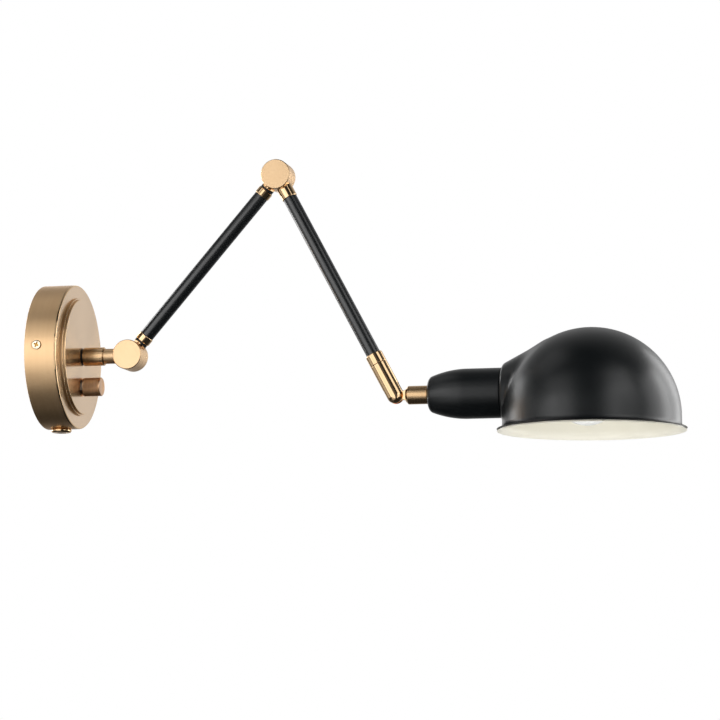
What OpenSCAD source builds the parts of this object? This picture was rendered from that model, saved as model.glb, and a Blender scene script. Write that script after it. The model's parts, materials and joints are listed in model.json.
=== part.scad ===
// Articulating wall light: round canopy with a rotary dimmer, two friction drum joints,
// two tube arms, a swivelling clevis and a half-dome shade on its side-entry lampholder.
// Origin: centre of the canopy back on the wall. X leaves the wall, Z is up.

/* [Canopy] */
// Width of the round canopy
canopy_d = 120; // [116:1:126]
// Depth from the wall to the canopy front
canopy_depth = 27; // [26:0.5:30]
// Thickness of the canopy sheet
canopy_wall = 1.5; // [1.2:0.1:2]
// Rounding of the canopy front corner
canopy_edge = 1; // [0.6:0.1:1.2]
// Width of the lower step of the face plate
step_d = 98; // [97:0.5:102]
// Height of the lower step
step_h = 2; // [1.6:0.1:2.4]
// Width of the upper step of the face plate
face_d = 95.6; // [90:0.2:96]
// Height of the upper step
face_h = 2; // [1.6:0.1:2.4]
// Bevel round the upper step
face_bevel = 0.8; // [0.5:0.1:1]

/* [Wall bracket] */
// Height of the strap against the wall
bracket_h = 22; // [20:1:26]
// Thickness of the strap
bracket_t = 2; // [1.8:0.1:2.4]
// Distance between the two slot middles
slot_spacing = 80; // [72:1:84]
// Width of a slot
slot_w = 4.8; // [4.2:0.1:5.2]
// Length of a slot from end to end
slot_len = 14; // [10:1:16]
// Hole in the strap for the supply wires
wire_hole_d = 16; // [12:1:18]
// Distance of the side screws from the wall
side_screw_x = 10.6; // [9.5:0.1:12]
// Height of the side screws above the middle
side_screw_z = 3.4; // [0:0.1:4]
// Thread size of the side screws
side_screw_d = 4; // [3:0.5:4]
// Width of a side screw head
side_head_d = 7.2; // [6.5:0.1:8]

/* [Cord inlet] */
// Distance of the cord inlet from the wall
inlet_x = 12.5; // [11.5:0.5:13.5]
// Width of the inlet bushing
inlet_d = 17; // [15:0.5:18]
// Height of the inlet bushing below the canopy
inlet_h = 4; // [3:0.5:5]
// Thread size of the inlet bushing
inlet_thread_d = 10; // [9.5:0.5:11]
// Cord hole in the rubber grommet
cord_hole_d = 5.5; // [5:0.5:6.5]

/* [Dimmer] */
// Width of the knob
knob_d = 15.6; // [15:0.2:17]
// Length of the knob
knob_len = 15.4; // [14:0.2:18]
// Distance of the knob below the middle
knob_drop = 25.3; // [24:0.1:28]
// Gap between knob and face plate
knob_gap = 1; // [0.6:0.1:1.4]
// Width of the control shaft
shaft_d = 6; // [5:0.5:6.5]

/* [Wall post] */
// Width of the fixed post
post_d = 15.4; // [15:0.1:17]
// Length of the fixed post
post_len = 18.9; // [17:0.1:20]
// Width of the turning neck
neck_d = 12.6; // [12:0.1:13]
// Distance from the wall to the first drum joint
drum_reach = 71.8; // [70:0.2:80]
// Width of the turning spigot inside the post
spigot_d = 8; // [7.5:0.1:8.5]

/* [Drum joints] */
// Width of a drum
drum_d = 24.7; // [24.5:0.1:27]
// Thickness of a drum over both caps
drum_t = 20.4; // [20:0.2:22]
// Visible thickness of a drum cap
cap_t = 4; // [3.8:0.1:4.4]
// Bevel round a drum cap
cap_bevel = 1.1; // [0.6:0.1:1.3]
// Relief between a drum and the collar of the other half
relief = 1.5; // [1.2:0.1:2]
// Width of an arm collar
collar_d = 13; // [12.8:0.1:13.4]
// Distance from a drum axis to the end of its collar
collar_end = 21.5; // [21:0.1:24]
// Width of the hollow pivot bolt
bolt_d = 8; // [7.5:0.1:8.4]

/* [Arms] */
// Width of an arm tube
tube_d = 11.8; // [11.4:0.1:12.2]
// Wall of an arm tube
tube_wall = 1; // [0.8:0.1:1.2]
// Length of an arm tube between its collars
tube_len = 150; // [120:1:200]
// Angle of the lower arm above level as shown
lower_rise = 49.2; // [40:0.1:60]
// Angle of the upper arm below level as shown
upper_drop = 61.85; // [50:0.05:65]

/* [Head joint] */
// Width of the clevis and of the collar above it
clevis_d = 14.4; // [14:0.1:15]
// Distance from the tilt axis to the top of the clevis
clevis_len = 29.4; // [27:0.1:34]
// Length of the collar above the clevis
head_collar_len = 9; // [8:0.5:11]
// Width of the slot for the tongue
fork_slot = 5.4; // [5:0.1:5.8]
// Depth of the slot above the tilt axis
fork_depth = 8.4; // [7.5:0.1:10]
// Width of the tilt screw
tilt_d = 4; // [3.5:0.1:4.4]
// Height of the tongue
tongue_h = 7.4; // [7:0.1:8]
// Width of the stem behind the shade cover
stem_d = 15; // [14.4:0.1:16]
// Distance from the tilt axis to the shoulder of the stem
stem_from = 8.9; // [8.6:0.1:10]
// Distance from the tilt axis to the shade cover
cover_from = 27; // [25:0.5:30]

/* [Lampholder cover] */
// Width of the cover at its narrow end
cover_small_d = 29.8; // [28:0.2:32]
// Width of the cover at its open end
cover_d = 40.8; // [40:0.2:43]
// Length of the cover
cover_len = 61.2; // [60:0.2:63]
// Thickness of the cover sheet
cover_wall = 1.2; // [1:0.1:1.4]
// Thread size of the lampholder nipple
nipple_d = 10; // [9.5:0.5:10.5]
// Width of the lampholder thread that carries the shade
holder_d = 34; // [33:0.5:34.5]

/* [Shade] */
// Width of the dome wall
dome_d = 144; // [140:1:150]
// Depth of the dome centre below the lampholder axis
dome_drop = 21; // [19:0.5:23]
// Depth of the rim below the lampholder axis
rim_drop = 32.6; // [31.5:0.1:35]
// Width across the flared rim
rim_d = 152.4; // [150:0.2:160]
// Thickness of the shade sheet
shade_wall = 1.2; // [1:0.1:1.5]
// Slope of the conical side entry
entry_slope = 27; // [24:0.5:30]
// Width of the side entry where it meets the cover
entry_d = 49; // [48:0.5:51]

/* [Bulb] */
// Width of the bulb
bulb_d = 57; // [50:0.5:60]
// Length of the bulb with its cap
bulb_len = 110; // [106:1:112]
// Width of the screw cap
bulb_cap_d = 26; // [25.8:0.1:26.2]
// Thickness of the glass
glass_t = 1; // [0.8:0.1:1.4]
// Thickness of the cap sheet
bulb_cap_t = 0.6; // [0.4:0.1:0.8]

/* [Fits] */
// Gap added to a hole that turns on its shaft
run_fit = 0.1; // [0.06:0.02:0.16]
// Gap added to a hole that a screw or spigot passes through
slip_fit = 0.3; // [0.2:0.05:0.4]
// Gap between the turning faces of two halves
face_gap = 0.1; // [0.05:0.05:0.15]

/* [Hidden] */
$fn = 64;

brass = "#C9A26B";
bright_brass = "#E2B96F";
black = "#1B1D1E";
zinc = "#B9BCBE";
cream = "#F2EFDF";

cut = 1;
canopy_r = canopy_d / 2;
canopy_in = canopy_r - canopy_wall;
step_x = canopy_depth + step_h;
face_x = step_x + face_h;
plate_skin = 1.4;
inlet_flat = 0.8;

ear_reach = canopy_in - 3.9;
ear_len = side_screw_x + 6;
ear_half = 7;
side_y = sqrt(canopy_r * canopy_r - side_screw_z * side_screw_z);
side_seat = 0.5;
side_tap_y = ear_reach - bracket_t - 2;
ground_y = 18;
ground_d = 4;
terminal_y = 24;
terminal_size = [12, 14, 16];

thread_d = spigot_d + 4;
post_nut_h = 3;
neck_nut_h = 4;
neck_washer_t = 1;
post_tail = canopy_depth - canopy_wall - post_nut_h - 1.5;
neck_tail = post_tail - neck_washer_t - neck_nut_h;
neck_x = face_x + post_len;

dimmer_front = canopy_depth - canopy_wall;
dimmer_back = dimmer_front - 17.5;
dimmer_wide = 22;
dimmer_high = 18;
bush_d = 7.4;
bush_end = face_x + knob_gap + 2;
knob_x = face_x + knob_gap;
knob_end = knob_x + knob_len;

drum_r = drum_d / 2;
cap_from = drum_t / 2 - cap_t;
web = 4;
groove_from = bolt_d / 2 + 1.8;
groove_to = drum_r - 3;
groove_deep = 2.4;
well_r = drum_r - 2.3;
bolt_head_t = 1.6;
pivot_washer_t = 0.7;
pivot_nut_t = 2;
arm_bore = 5.4;
tenon_d = 7.4;
tenon_from = drum_r - 2;
plug_len = 8;
plug_d = tube_d - 2 * tube_wall;

head_top = clevis_len + 0.2;
lower_len = tube_len + 2 * collar_end;
upper_len = tube_len + collar_end + head_top + head_collar_len;
socket_deep = 4;
ledge = head_collar_len - socket_deep - 2;
elbow = [drum_reach + lower_len * cos(lower_rise), 0, lower_len * sin(lower_rise)];
head = elbow + upper_len * [cos(upper_drop), 0, -sin(upper_drop)];

tongue_t = fork_slot - 0.4;
tongue_r = tongue_h / 2 + 1;
head_seat = clevis_d / 2 - 2.2;
stem_bore = 5;

cover_to = cover_from + cover_len;
cover_r = cover_d / 2;
swell_to = 27.5;
shade_x = cover_to + 0.3;
holder_x = 46;
flange_x = shade_x - 2;
holder_to = shade_x + shade_wall + 9;
shell_r = bulb_cap_d / 2 + slip_fit;
cap_x = holder_to - 24;
bulb_end = cap_x + bulb_len;
bulb_mid = bulb_end - bulb_d / 2;
cap_len = 26;

dome_r = dome_d / 2;
rim_r = rim_d / 2;
bead_r = 1.2;
entry_round = 3;
flare_h = rim_drop - dome_drop - 5.4;
ring_h = 6;

// Cylinder along X between two stations
module rod_x(x0, x1, r) {
  translate([x0, 0, 0]) rotate([0, 90, 0]) cylinder(r = r, h = x1 - x0);
}

// Cone along X between two stations
module cone_x(x0, x1, r0, r1) {
  translate([x0, 0, 0]) rotate([0, 90, 0]) cylinder(r1 = r0, r2 = r1, h = x1 - x0);
}

// Cylinder along Y between two stations
module rod_y(y0, y1, r) {
  translate([0, y0, 0]) rotate([-90, 0, 0]) cylinder(r = r, h = y1 - y0);
}

// Washer-like ring along X
module ring_x(x0, x1, r_out, r_in) {
  difference() {
    rod_x(x0, x1, r_out);
    rod_x(x0 - cut, x1 + cut, r_in);
  }
}

// Washer-like ring along Y
module ring_y(y0, y1, r_out, r_in) {
  difference() {
    rod_y(y0, y1, r_out);
    rod_y(y0 - cut, y1 + cut, r_in);
  }
}

// Turned shape about X from points [station, radius]
module turned_x(points) {
  rotate([0, 90, 0]) rotate_extrude() polygon([for (p = points) [p[1], p[0]]]);
}

// Hexagon nut along X with a round hole
module nut_x(x0, x1, flats, hole_r) {
  difference() {
    translate([x0, 0, 0]) rotate([0, 90, 0]) cylinder(d = flats / cos(30), h = x1 - x0, $fn = 6);
    rod_x(x0 - cut, x1 + cut, hole_r);
  }
}

// Hexagon nut along Y with a round hole
module nut_y(y0, y1, flats, hole_r) {
  rotate([0, 0, 90]) nut_x(y0, y1, flats, hole_r);
}

module at_wall_drum() { translate([drum_reach, 0, 0]) children(); }
module on_lower_arm() { at_wall_drum() rotate([0, -lower_rise, 0]) children(); }
module at_elbow() { translate(elbow) children(); }
module on_upper_arm() { at_elbow() rotate([0, upper_drop, 0]) children(); }
module at_head() { translate(head) children(); }
module on_clevis() { at_head() rotate([0, upper_drop, 0]) children(); }

// Stamped strap that the wall screws hold, with an ear at each end for a side screw
module wall_bracket() {
  color(zinc) difference() {
    union() {
      translate([0, -ear_reach, -bracket_h / 2]) cube([bracket_t, 2 * ear_reach, bracket_h]);
      for (side = [-1, 1])
        translate([0, side < 0 ? -ear_reach : ear_reach - bracket_t, side_screw_z - ear_half])
          cube([ear_len, bracket_t, 2 * ear_half]);
    }
    rod_x(-cut, bracket_t + cut, wire_hole_d / 2);
    for (side = [-1, 1]) translate([0, side * slot_spacing / 2, 0]) {
      for (end = [-1, 1])
        translate([0, end * (slot_len - slot_w) / 2, 0]) rod_x(-cut, bracket_t + cut, slot_w / 2);
      translate([-cut, -(slot_len - slot_w) / 2, -slot_w / 2])
        cube([bracket_t + 2 * cut, slot_len - slot_w, slot_w]);
    }
    translate([side_screw_x, 0, side_screw_z])
      rod_y(-ear_reach - cut, ear_reach + cut, side_screw_d / 2);
    translate([0, ground_y, 0]) rod_x(-cut, bracket_t + cut, ground_d / 2);
  }
}

// Green earth screw in the strap
module ground_screw() {
  color("#3F8F4E") translate([0, ground_y, 0]) difference() {
    union() {
      rod_x(0.2, bracket_t + 0.5, ground_d / 2);
      rod_x(bracket_t, bracket_t + 2.6, 4);
    }
    translate([bracket_t + 1.8, -5, -0.5]) cube([cut + 1, 10, 1]);
  }
}

// Round cup that covers the strap, open at the wall
module canopy() {
  lip = canopy_edge * (1 - sqrt(0.5));
  color(brass) difference() {
    turned_x([
      [0, canopy_in], [0, canopy_r], [canopy_depth - canopy_edge, canopy_r],
      [canopy_depth - lip, canopy_r - lip], [canopy_depth, canopy_r - canopy_edge],
      [canopy_depth, 0], [canopy_depth - canopy_wall, 0], [canopy_depth - canopy_wall, canopy_in]
    ]);
    rod_x(0, canopy_depth + cut, thread_d / 2 + slip_fit / 2);
    translate([0, 0, -knob_drop]) rod_x(0, canopy_depth + cut, bush_d / 2 + slip_fit / 2);
    translate([side_screw_x, 0, side_screw_z]) {
      rod_y(-canopy_r, canopy_r, side_screw_d / 2 + slip_fit / 2);
      for (side = [-1, 1])
        rotate([0, 0, side < 0 ? 180 : 0]) rod_y(side_y - side_seat, side_y + 2, side_head_d / 2 + 0.9);
    }
    translate([inlet_x, 0, -canopy_r - cut])
      cylinder(d = inlet_thread_d + slip_fit, h = canopy_wall + 2 * cut);
    translate([inlet_x, 0, -canopy_r - cut]) cylinder(d = inlet_d + 0.6, h = cut + inlet_flat);
  }
}

// Stepped decorative plate on the canopy front
module face_plate() {
  color(brass) difference() {
    turned_x([
      [canopy_depth, 0], [canopy_depth, step_d / 2], [step_x - 0.5, step_d / 2],
      [step_x, step_d / 2 - 0.5], [step_x, face_d / 2], [face_x - face_bevel, face_d / 2],
      [face_x, face_d / 2 - face_bevel], [face_x, 0]
    ]);
    rod_x(canopy_depth - cut, face_x + cut, thread_d / 2 + slip_fit / 2);
    translate([0, 0, -knob_drop]) rod_x(canopy_depth - cut, face_x + cut, bush_d / 2 + slip_fit / 2);
    difference() {
      rod_x(canopy_depth - cut, face_x - plate_skin, face_d / 2 - plate_skin);
      rod_x(canopy_depth - cut, face_x, post_d / 2 + 2);
      translate([0, 0, -knob_drop]) rod_x(canopy_depth - cut, face_x, knob_d / 2);
    }
  }
}

// Pan-head screws through the canopy side into the strap ears
module side_screws() {
  head_y = side_y - side_seat;
  color(bright_brass) translate([side_screw_x, 0, side_screw_z]) for (side = [0, 180])
    rotate([0, 0, side]) difference() {
      union() {
        rod_y(side_tap_y, head_y + 0.5, side_screw_d / 2);
        rod_y(head_y, head_y + 1.3, side_head_d / 2);
        translate([0, head_y + 1.3, 0]) rotate([-90, 0, 0])
          cylinder(r1 = side_head_d / 2, r2 = side_head_d / 2 - 1.3, h = 0.7);
      }
      for (turn = [45, 135])
        translate([0, head_y + 1.6, 0]) rotate([0, turn, 0]) cube([4, 2, 0.9], center = true);
    }
}

// Fixed post with its threaded tail through the canopy front
module base_post() {
  color(brass) difference() {
    union() {
      rod_x(post_tail, face_x + 1, thread_d / 2);
      rod_x(face_x, neck_x - face_gap - 0.8, post_d / 2);
      cone_x(neck_x - face_gap - 0.8, neck_x - face_gap, post_d / 2, post_d / 2 - 0.8);
    }
    rod_x(post_tail - cut, neck_x + cut, (spigot_d + run_fit) / 2);
  }
}

module post_nut() {
  color(zinc) nut_x(dimmer_front - post_nut_h, dimmer_front, thread_d + 5, thread_d / 2);
}

// Three-way screw terminal beside the post
module terminal_block() {
  way_step = 5;
  color(cream) translate([bracket_t, -terminal_y, 0]) difference() {
    translate([0, -terminal_size[1] / 2, -terminal_size[2] / 2]) cube(terminal_size);
    for (way = [-1, 0, 1]) translate([0, 0, way_step * way]) {
      rod_x(8, terminal_size[0] + cut, 1.3);
      translate([5, 0, 0]) rod_y(-terminal_size[1], terminal_size[1], 1.4);
    }
  }
}

// Flanged bushing under the canopy where the supply cord comes in
module inlet_bushing() {
  color(bright_brass) translate([inlet_x, 0, -canopy_r + inlet_flat]) difference() {
    union() {
      rotate_extrude() polygon([
        [0, 0], [inlet_d / 2 - 0.7, 0], [inlet_d / 2, -0.9], [inlet_d / 2 - 0.2, -2.2],
        [inlet_d / 2 - 1.6, 0.5 - inlet_h], [inlet_d / 2 - 3, -inlet_h], [0, -inlet_h]
      ]);
      cylinder(d = inlet_thread_d, h = 7);
    }
    translate([0, 0, -inlet_h - cut]) cylinder(d = inlet_thread_d - 1.4, h = inlet_h + 7 + 2 * cut);
  }
}

// Rubber grommet lining the bushing
module inlet_grommet() {
  color(black) translate([inlet_x, 0, -canopy_r + inlet_flat]) difference() {
    translate([0, 0, 0.6 - inlet_h]) cylinder(d = inlet_thread_d - 1.4, h = inlet_h + 6);
    translate([0, 0, -inlet_h - cut]) cylinder(d = cord_hole_d, h = inlet_h + 9);
  }
}

module inlet_nut() {
  color(zinc) translate([inlet_x, 0, 0]) rotate([0, 90, 0])
    nut_x(canopy_in - 3.1, canopy_in - 0.4, inlet_thread_d + 3.5, inlet_thread_d / 2);
}

// Rotary dimmer behind the canopy front with its threaded bush
module dimmer_body() {
  color("#3A3C40") translate([0, 0, -knob_drop]) difference() {
    union() {
      translate([dimmer_back, -dimmer_wide / 2, -dimmer_high / 2])
        cube([dimmer_front - dimmer_back, dimmer_wide, dimmer_high]);
      rod_x(dimmer_front - cut, bush_end, bush_d / 2);
    }
    rod_x(dimmer_back + 4, bush_end + cut, (shaft_d + run_fit) / 2);
  }
}

module dimmer_nut() {
  color(zinc) translate([0, 0, -knob_drop]) nut_x(face_x, face_x + 2, bush_d + 2.6, bush_d / 2);
}

module dimmer_shaft() {
  color(zinc) translate([0, 0, -knob_drop]) difference() {
    rod_x(dimmer_back + 5, knob_end - 4, shaft_d / 2);
    translate([knob_x + 5, -shaft_d, shaft_d / 2 - 1]) cube([knob_len, 2 * shaft_d, shaft_d]);
  }
}

// Knurled knob with a D bore and a recess that hides the dimmer nut
module knob() {
  color(brass) translate([0, 0, -knob_drop]) difference() {
    union() {
      rod_x(knob_x, knob_end - 0.6, knob_d / 2);
      cone_x(knob_end - 0.6, knob_end, knob_d / 2, knob_d / 2 - 0.6);
    }
    rod_x(knob_x - cut, knob_x + 2.6, knob_d / 2 - 1.4);
    difference() {
      rod_x(knob_x, knob_end - 3.8, shaft_d / 2 + 0.02);
      translate([knob_x + 5.2, -shaft_d, shaft_d / 2 - 1]) cube([knob_len, 2 * shaft_d, shaft_d]);
    }
    translate([knob_x + 7.5, 0, 0]) cylinder(d = 3, h = knob_d);
  }
}

module knob_grub_screw() {
  color(zinc) translate([knob_x + 7.5, 0, shaft_d / 2 - 1 - knob_drop]) difference() {
    cylinder(d = 3, h = knob_d / 2 - shaft_d / 2 + 0.2);
    translate([0, 0, knob_d / 2 - shaft_d / 2 - 1]) cylinder(d = 1.5, h = 2, $fn = 6);
  }
}

// Half of a drum joint about Y; side is -1 for the front half and 1 for the rear half
module half_drum(side, hole_r) {
  rotate([0, 0, side < 0 ? 180 : 0]) difference() {
    rod_y(face_gap, cap_from, drum_r);
    rod_y(0, cap_from + cut, hole_r);
    rod_y(web, cap_from + cut, well_r);
    difference() {
      rod_y(0, groove_deep, groove_to);
      rod_y(-cut, groove_deep + cut, groove_from);
    }
  }
}

// Hole in a half drum for the tenon of its arm, along +X
module tenon_space(side, gap) {
  intersection() {
    rod_x(tenon_from - gap, drum_r + 2, tenon_d / 2 + gap / 2);
    translate([0, side < 0 ? -drum_r - 0.6 + gap / 4 : 0.6 - gap / 4, -drum_r])
      cube([2 * drum_r, drum_r, 2 * drum_r]);
  }
}

// Collar that joins a tube to the half drum on one side and clears the other half
module arm_collar(side) {
  color(bright_brass) difference() {
    union() {
      difference() {
        rod_x(drum_r - 8, collar_end, collar_d / 2);
        rod_y(-drum_r, drum_r, drum_r);
        rotate([0, 0, side < 0 ? 0 : 180]) rod_y(-face_gap, drum_r, drum_r + relief);
      }
      tenon_space(side, 0);
      rod_x(collar_end - 1, collar_end + plug_len, plug_d / 2);
    }
    rod_x(0, collar_end + plug_len + cut, arm_bore / 2);
  }
}

// Press-on cap that closes a half drum
module drum_cap(side) {
  color(brass) rotate([0, 0, side < 0 ? 180 : 0]) difference() {
    union() {
      rod_y(cap_from, drum_t / 2 - cap_bevel, drum_r);
      translate([0, drum_t / 2 - cap_bevel, 0]) rotate([-90, 0, 0])
        cylinder(r1 = drum_r, r2 = drum_r - cap_bevel, h = cap_bevel);
      rod_y(cap_from - 1.2, cap_from + 1, well_r);
    }
    rod_y(cap_from - 1.2 - cut, drum_t / 2 - 1.5, well_r - 1.6);
  }
}

// Hollow bolt through both halves, headed on the front side
module pivot_bolt() {
  color(zinc) difference() {
    union() {
      rod_y(-web, cap_from + 0.4, bolt_d / 2);
      rod_y(-web - bolt_head_t, -web, bolt_d / 2 + 2.6);
    }
    rod_y(-web - bolt_head_t - cut, cap_from + 2, bolt_d / 2 - 1.5);
  }
}

module pivot_washer() {
  color(zinc) ring_y(web, web + pivot_washer_t, bolt_d / 2 + 3, bolt_d / 2 + slip_fit / 2);
}

module pivot_nut() {
  color(zinc) nut_y(web + pivot_washer_t, web + pivot_washer_t + pivot_nut_t, bolt_d + 4, bolt_d / 2);
}

// Front half of the wall drum in one piece with the turning neck and its spigot
module wall_drum_neck() {
  color(brass) difference() {
    union() {
      at_wall_drum() half_drum(-1, (bolt_d + run_fit) / 2);
      difference() {
        rod_x(neck_x, drum_reach - 6, neck_d / 2);
        at_wall_drum() rod_y(-cap_from, drum_r, drum_r - 0.4);
        at_wall_drum() rod_y(-face_gap, drum_r, drum_r + relief);
      }
      rod_x(neck_tail, neck_x + cut, spigot_d / 2);
    }
    rod_x(neck_tail - cut, drum_reach - groove_to + 1, spigot_d / 2 - 1.6);
  }
}

module wall_drum_front_cap() { at_wall_drum() drum_cap(-1); }

// Wave washer and round nut that keep the spigot in the post
module neck_washer() {
  color(zinc) ring_x(post_tail - neck_washer_t, post_tail, thread_d / 2, spigot_d / 2 + slip_fit / 2);
}

module neck_nut() {
  color(zinc) nut_x(neck_tail, neck_tail + neck_nut_h, spigot_d + 4, spigot_d / 2);
}

module wall_drum_rear() {
  color(brass) on_lower_arm() difference() {
    half_drum(1, bolt_d / 2);
    tenon_space(1, slip_fit);
  }
}

module wall_drum_rear_cap() { on_lower_arm() drum_cap(1); }
module wall_pivot_bolt() { at_wall_drum() pivot_bolt(); }
module wall_pivot_washer() { at_wall_drum() pivot_washer(); }
module wall_pivot_nut() { at_wall_drum() pivot_nut(); }

module lower_arm_wall_collar() { on_lower_arm() arm_collar(1); }

module arm_tube(x0, x1) {
  color(black) ring_x(x0, x1, tube_d / 2, tube_d / 2 - tube_wall);
}

module lower_arm_tube() { on_lower_arm() arm_tube(collar_end, lower_len - collar_end); }

module lower_arm_elbow_collar() {
  on_lower_arm() translate([lower_len, 0, 0]) mirror([1, 0, 0]) arm_collar(1);
}

module elbow_drum_rear() {
  color(brass) on_lower_arm() translate([lower_len, 0, 0]) mirror([1, 0, 0]) difference() {
    half_drum(1, bolt_d / 2);
    tenon_space(1, slip_fit);
  }
}

module elbow_drum_rear_cap() { at_elbow() drum_cap(1); }
module elbow_pivot_bolt() { at_elbow() pivot_bolt(); }
module elbow_pivot_washer() { at_elbow() pivot_washer(); }
module elbow_pivot_nut() { at_elbow() pivot_nut(); }

module elbow_drum_front() {
  color(brass) on_upper_arm() difference() {
    half_drum(-1, (bolt_d + run_fit) / 2);
    tenon_space(-1, slip_fit);
  }
}

module elbow_drum_front_cap() { on_upper_arm() drum_cap(-1); }
module upper_arm_elbow_collar() { on_upper_arm() arm_collar(-1); }

module upper_arm_tube() {
  on_upper_arm() arm_tube(collar_end, upper_len - head_top - head_collar_len + socket_deep);
}

// Collar under the upper tube; the tube sits in its upper socket
module head_collar() {
  color(bright_brass) on_clevis() difference() {
    rod_x(-head_top - head_collar_len, -head_top, clevis_d / 2);
    rod_x(-head_top - ledge, -head_top + cut, (spigot_d + run_fit) / 2);
    rod_x(-head_top - head_collar_len + socket_deep - cut, -head_top - ledge, plug_d / 2);
    rod_x(-head_top - head_collar_len - cut, -head_top - head_collar_len + socket_deep, tube_d / 2);
  }
}

// Turning clevis with a rounded end, a through slot and a spigot into the collar
module head_clevis() {
  color(bright_brass) on_clevis() difference() {
    union() {
      rod_x(-clevis_len, 0, clevis_d / 2);
      sphere(r = clevis_d / 2);
      rod_x(-head_top - ledge - 2.4, -clevis_len + 1, spigot_d / 2);
    }
    translate([-fork_depth, -fork_slot / 2, -clevis_d])
      cube([fork_depth + clevis_d, fork_slot, 2 * clevis_d]);
    rod_x(-clevis_len - ledge - 4, -fork_depth + cut, spigot_d / 2 - 1.6);
    rod_y(2 - clevis_d / 2, clevis_d, tilt_d / 2);
    rod_y(head_seat, clevis_d, tilt_d / 2 + 1.4);
  }
}

module head_swivel_nut() {
  color(zinc) on_clevis()
    ring_x(-head_top - ledge - 2.2, -head_top - ledge - 0.1, plug_d / 2 - 0.3, spigot_d / 2);
}

// Slotted screw that the tongue tilts on, entered from the rear cheek
module tilt_screw() {
  color(bright_brass) at_head() difference() {
    union() {
      rod_y(2.3 - clevis_d / 2, head_seat + 0.5, tilt_d / 2);
      rod_y(head_seat, head_seat + 1.4, tilt_d / 2 + 1.3);
    }
    rotate([0, 20, 0]) translate([-5, head_seat + 0.7, -0.4]) cube([10, cut + 1, 0.8]);
  }
}

// Tongue and stem in one piece, bored for the wires
module head_stem() {
  color(brass) at_head() difference() {
    union() {
      rod_y(-tongue_t / 2, tongue_t / 2, tongue_r);
      translate([0, -tongue_t / 2, -tongue_h / 2]) cube([stem_from + 1, tongue_t, tongue_h]);
      cone_x(stem_from, stem_from + 2, stem_d / 2 - 2, stem_d / 2);
      rod_x(stem_from + 2, cover_from - 0.5, stem_d / 2);
      cone_x(cover_from - 0.5, cover_from, stem_d / 2, stem_d / 2 - 0.5);
    }
    rod_y(-tongue_t, tongue_t, (tilt_d + run_fit) / 2);
    rod_x(stem_from + 2.5, cover_from, stem_bore / 2);
    rod_x(cover_from - 8, cover_from + cut, nipple_d / 2);
  }
}

module head_nipple() {
  color(zinc) at_head() ring_x(cover_from - 8, holder_x + 3, nipple_d / 2, nipple_d / 2 - 1.5);
}

module cover_nut() {
  seat = cover_from + cover_wall;
  color(zinc) at_head() nut_x(seat, seat + 3, nipple_d + 4, nipple_d / 2);
}

// Cover radius at a distance along the swelling part, t from 0 to 1
function swell(t) = 0.91 * t + 1.18 * t * t - 1.09 * t * t * t;
function cover_radius(t) = (cover_small_d + (cover_d - cover_small_d) * swell(t)) / 2;

// Outline of the cover, moved inwards by a sheet thickness for its inside
function cover_outline(inset) = [
  [cover_from + inset, 0],
  for (a = [0:15:90])
    [cover_from + 4 - (4 - inset) * cos(a), cover_small_d / 2 - 4 + (4 - inset) * sin(a)],
  for (t = [0.1:0.1:1]) [cover_from + 4 + (swell_to - 4) * t, cover_radius(t) - inset]
];

// Black cover round the lampholder, closed at the stem end
module socket_cover() {
  color(black) at_head() difference() {
    turned_x([for (p = cover_outline(0)) p, [cover_to, cover_r], [cover_to, 0]]);
    turned_x([
      for (p = cover_outline(cover_wall)) p,
      [cover_to + cut, cover_r - cover_wall], [cover_to + cut, 0]
    ]);
    rod_x(cover_from - cut, cover_from + cover_wall + cut, nipple_d / 2 + slip_fit / 2);
  }
}

// Insulating lampholder with a flange inside the cover and a thread that passes the shade
module lampholder_body() {
  color("#26272A") at_head() difference() {
    union() {
      rod_x(holder_x, holder_to, holder_d / 2);
      rod_x(flange_x, shade_x, cover_r - cover_wall - 0.2);
    }
    rod_x(holder_x - cut, holder_x + 3, nipple_d / 2);
    rod_x(holder_x + 3, cap_x - 6, holder_d / 2 - 4);
    rod_x(cap_x - 2, holder_to + cut, shell_r + 0.6);
  }
}

module lampholder_shell() {
  color(bright_brass) at_head() ring_x(cap_x - 2, holder_to - 2, shell_r + 0.6, shell_r);
}

module lampholder_contact() {
  color(bright_brass) at_head() rod_x(cap_x - 2, cap_x, 4);
}

// Threaded ring inside the shade that clamps it to the cover
module shade_ring() {
  seat = shade_x + shade_wall;
  color(black) at_head() ring_x(seat, seat + ring_h, entry_d / 2 - entry_round - 0.3, holder_d / 2);
}

// Half-section of the conical side entry about the lampholder axis
module entry_shape(inset) {
  reach = 34;
  round_r = entry_round - inset;
  corner = entry_d / 2 - entry_round;
  top = entry_d / 2 - inset / cos(entry_slope);
  turned_x([
    [inset, 0],
    for (a = [0:15:60]) [entry_round - round_r * cos(a), corner + round_r * sin(a)],
    [entry_round, top], [reach, top + (reach - entry_round) * tan(entry_slope)], [reach, 0]
  ]);
}

// Dome, straight skirt and side entry together; inset moves every wall inwards
module shade_body(inset) {
  intersection() {
    union() {
      translate([dome_r, 0, -dome_drop]) sphere(r = dome_r - inset);
      translate([dome_r, 0, -rim_drop - (inset > 0 ? cut : 0)])
        cylinder(r = dome_r - inset, h = rim_drop - dome_drop + (inset > 0 ? cut : 0));
      entry_shape(inset);
    }
    translate([inset, -dome_d, -rim_drop - (inset > 0 ? cut : 0)]) cube([2 * dome_d, 2 * dome_d, 2 * dome_d]);
  }
}

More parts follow.
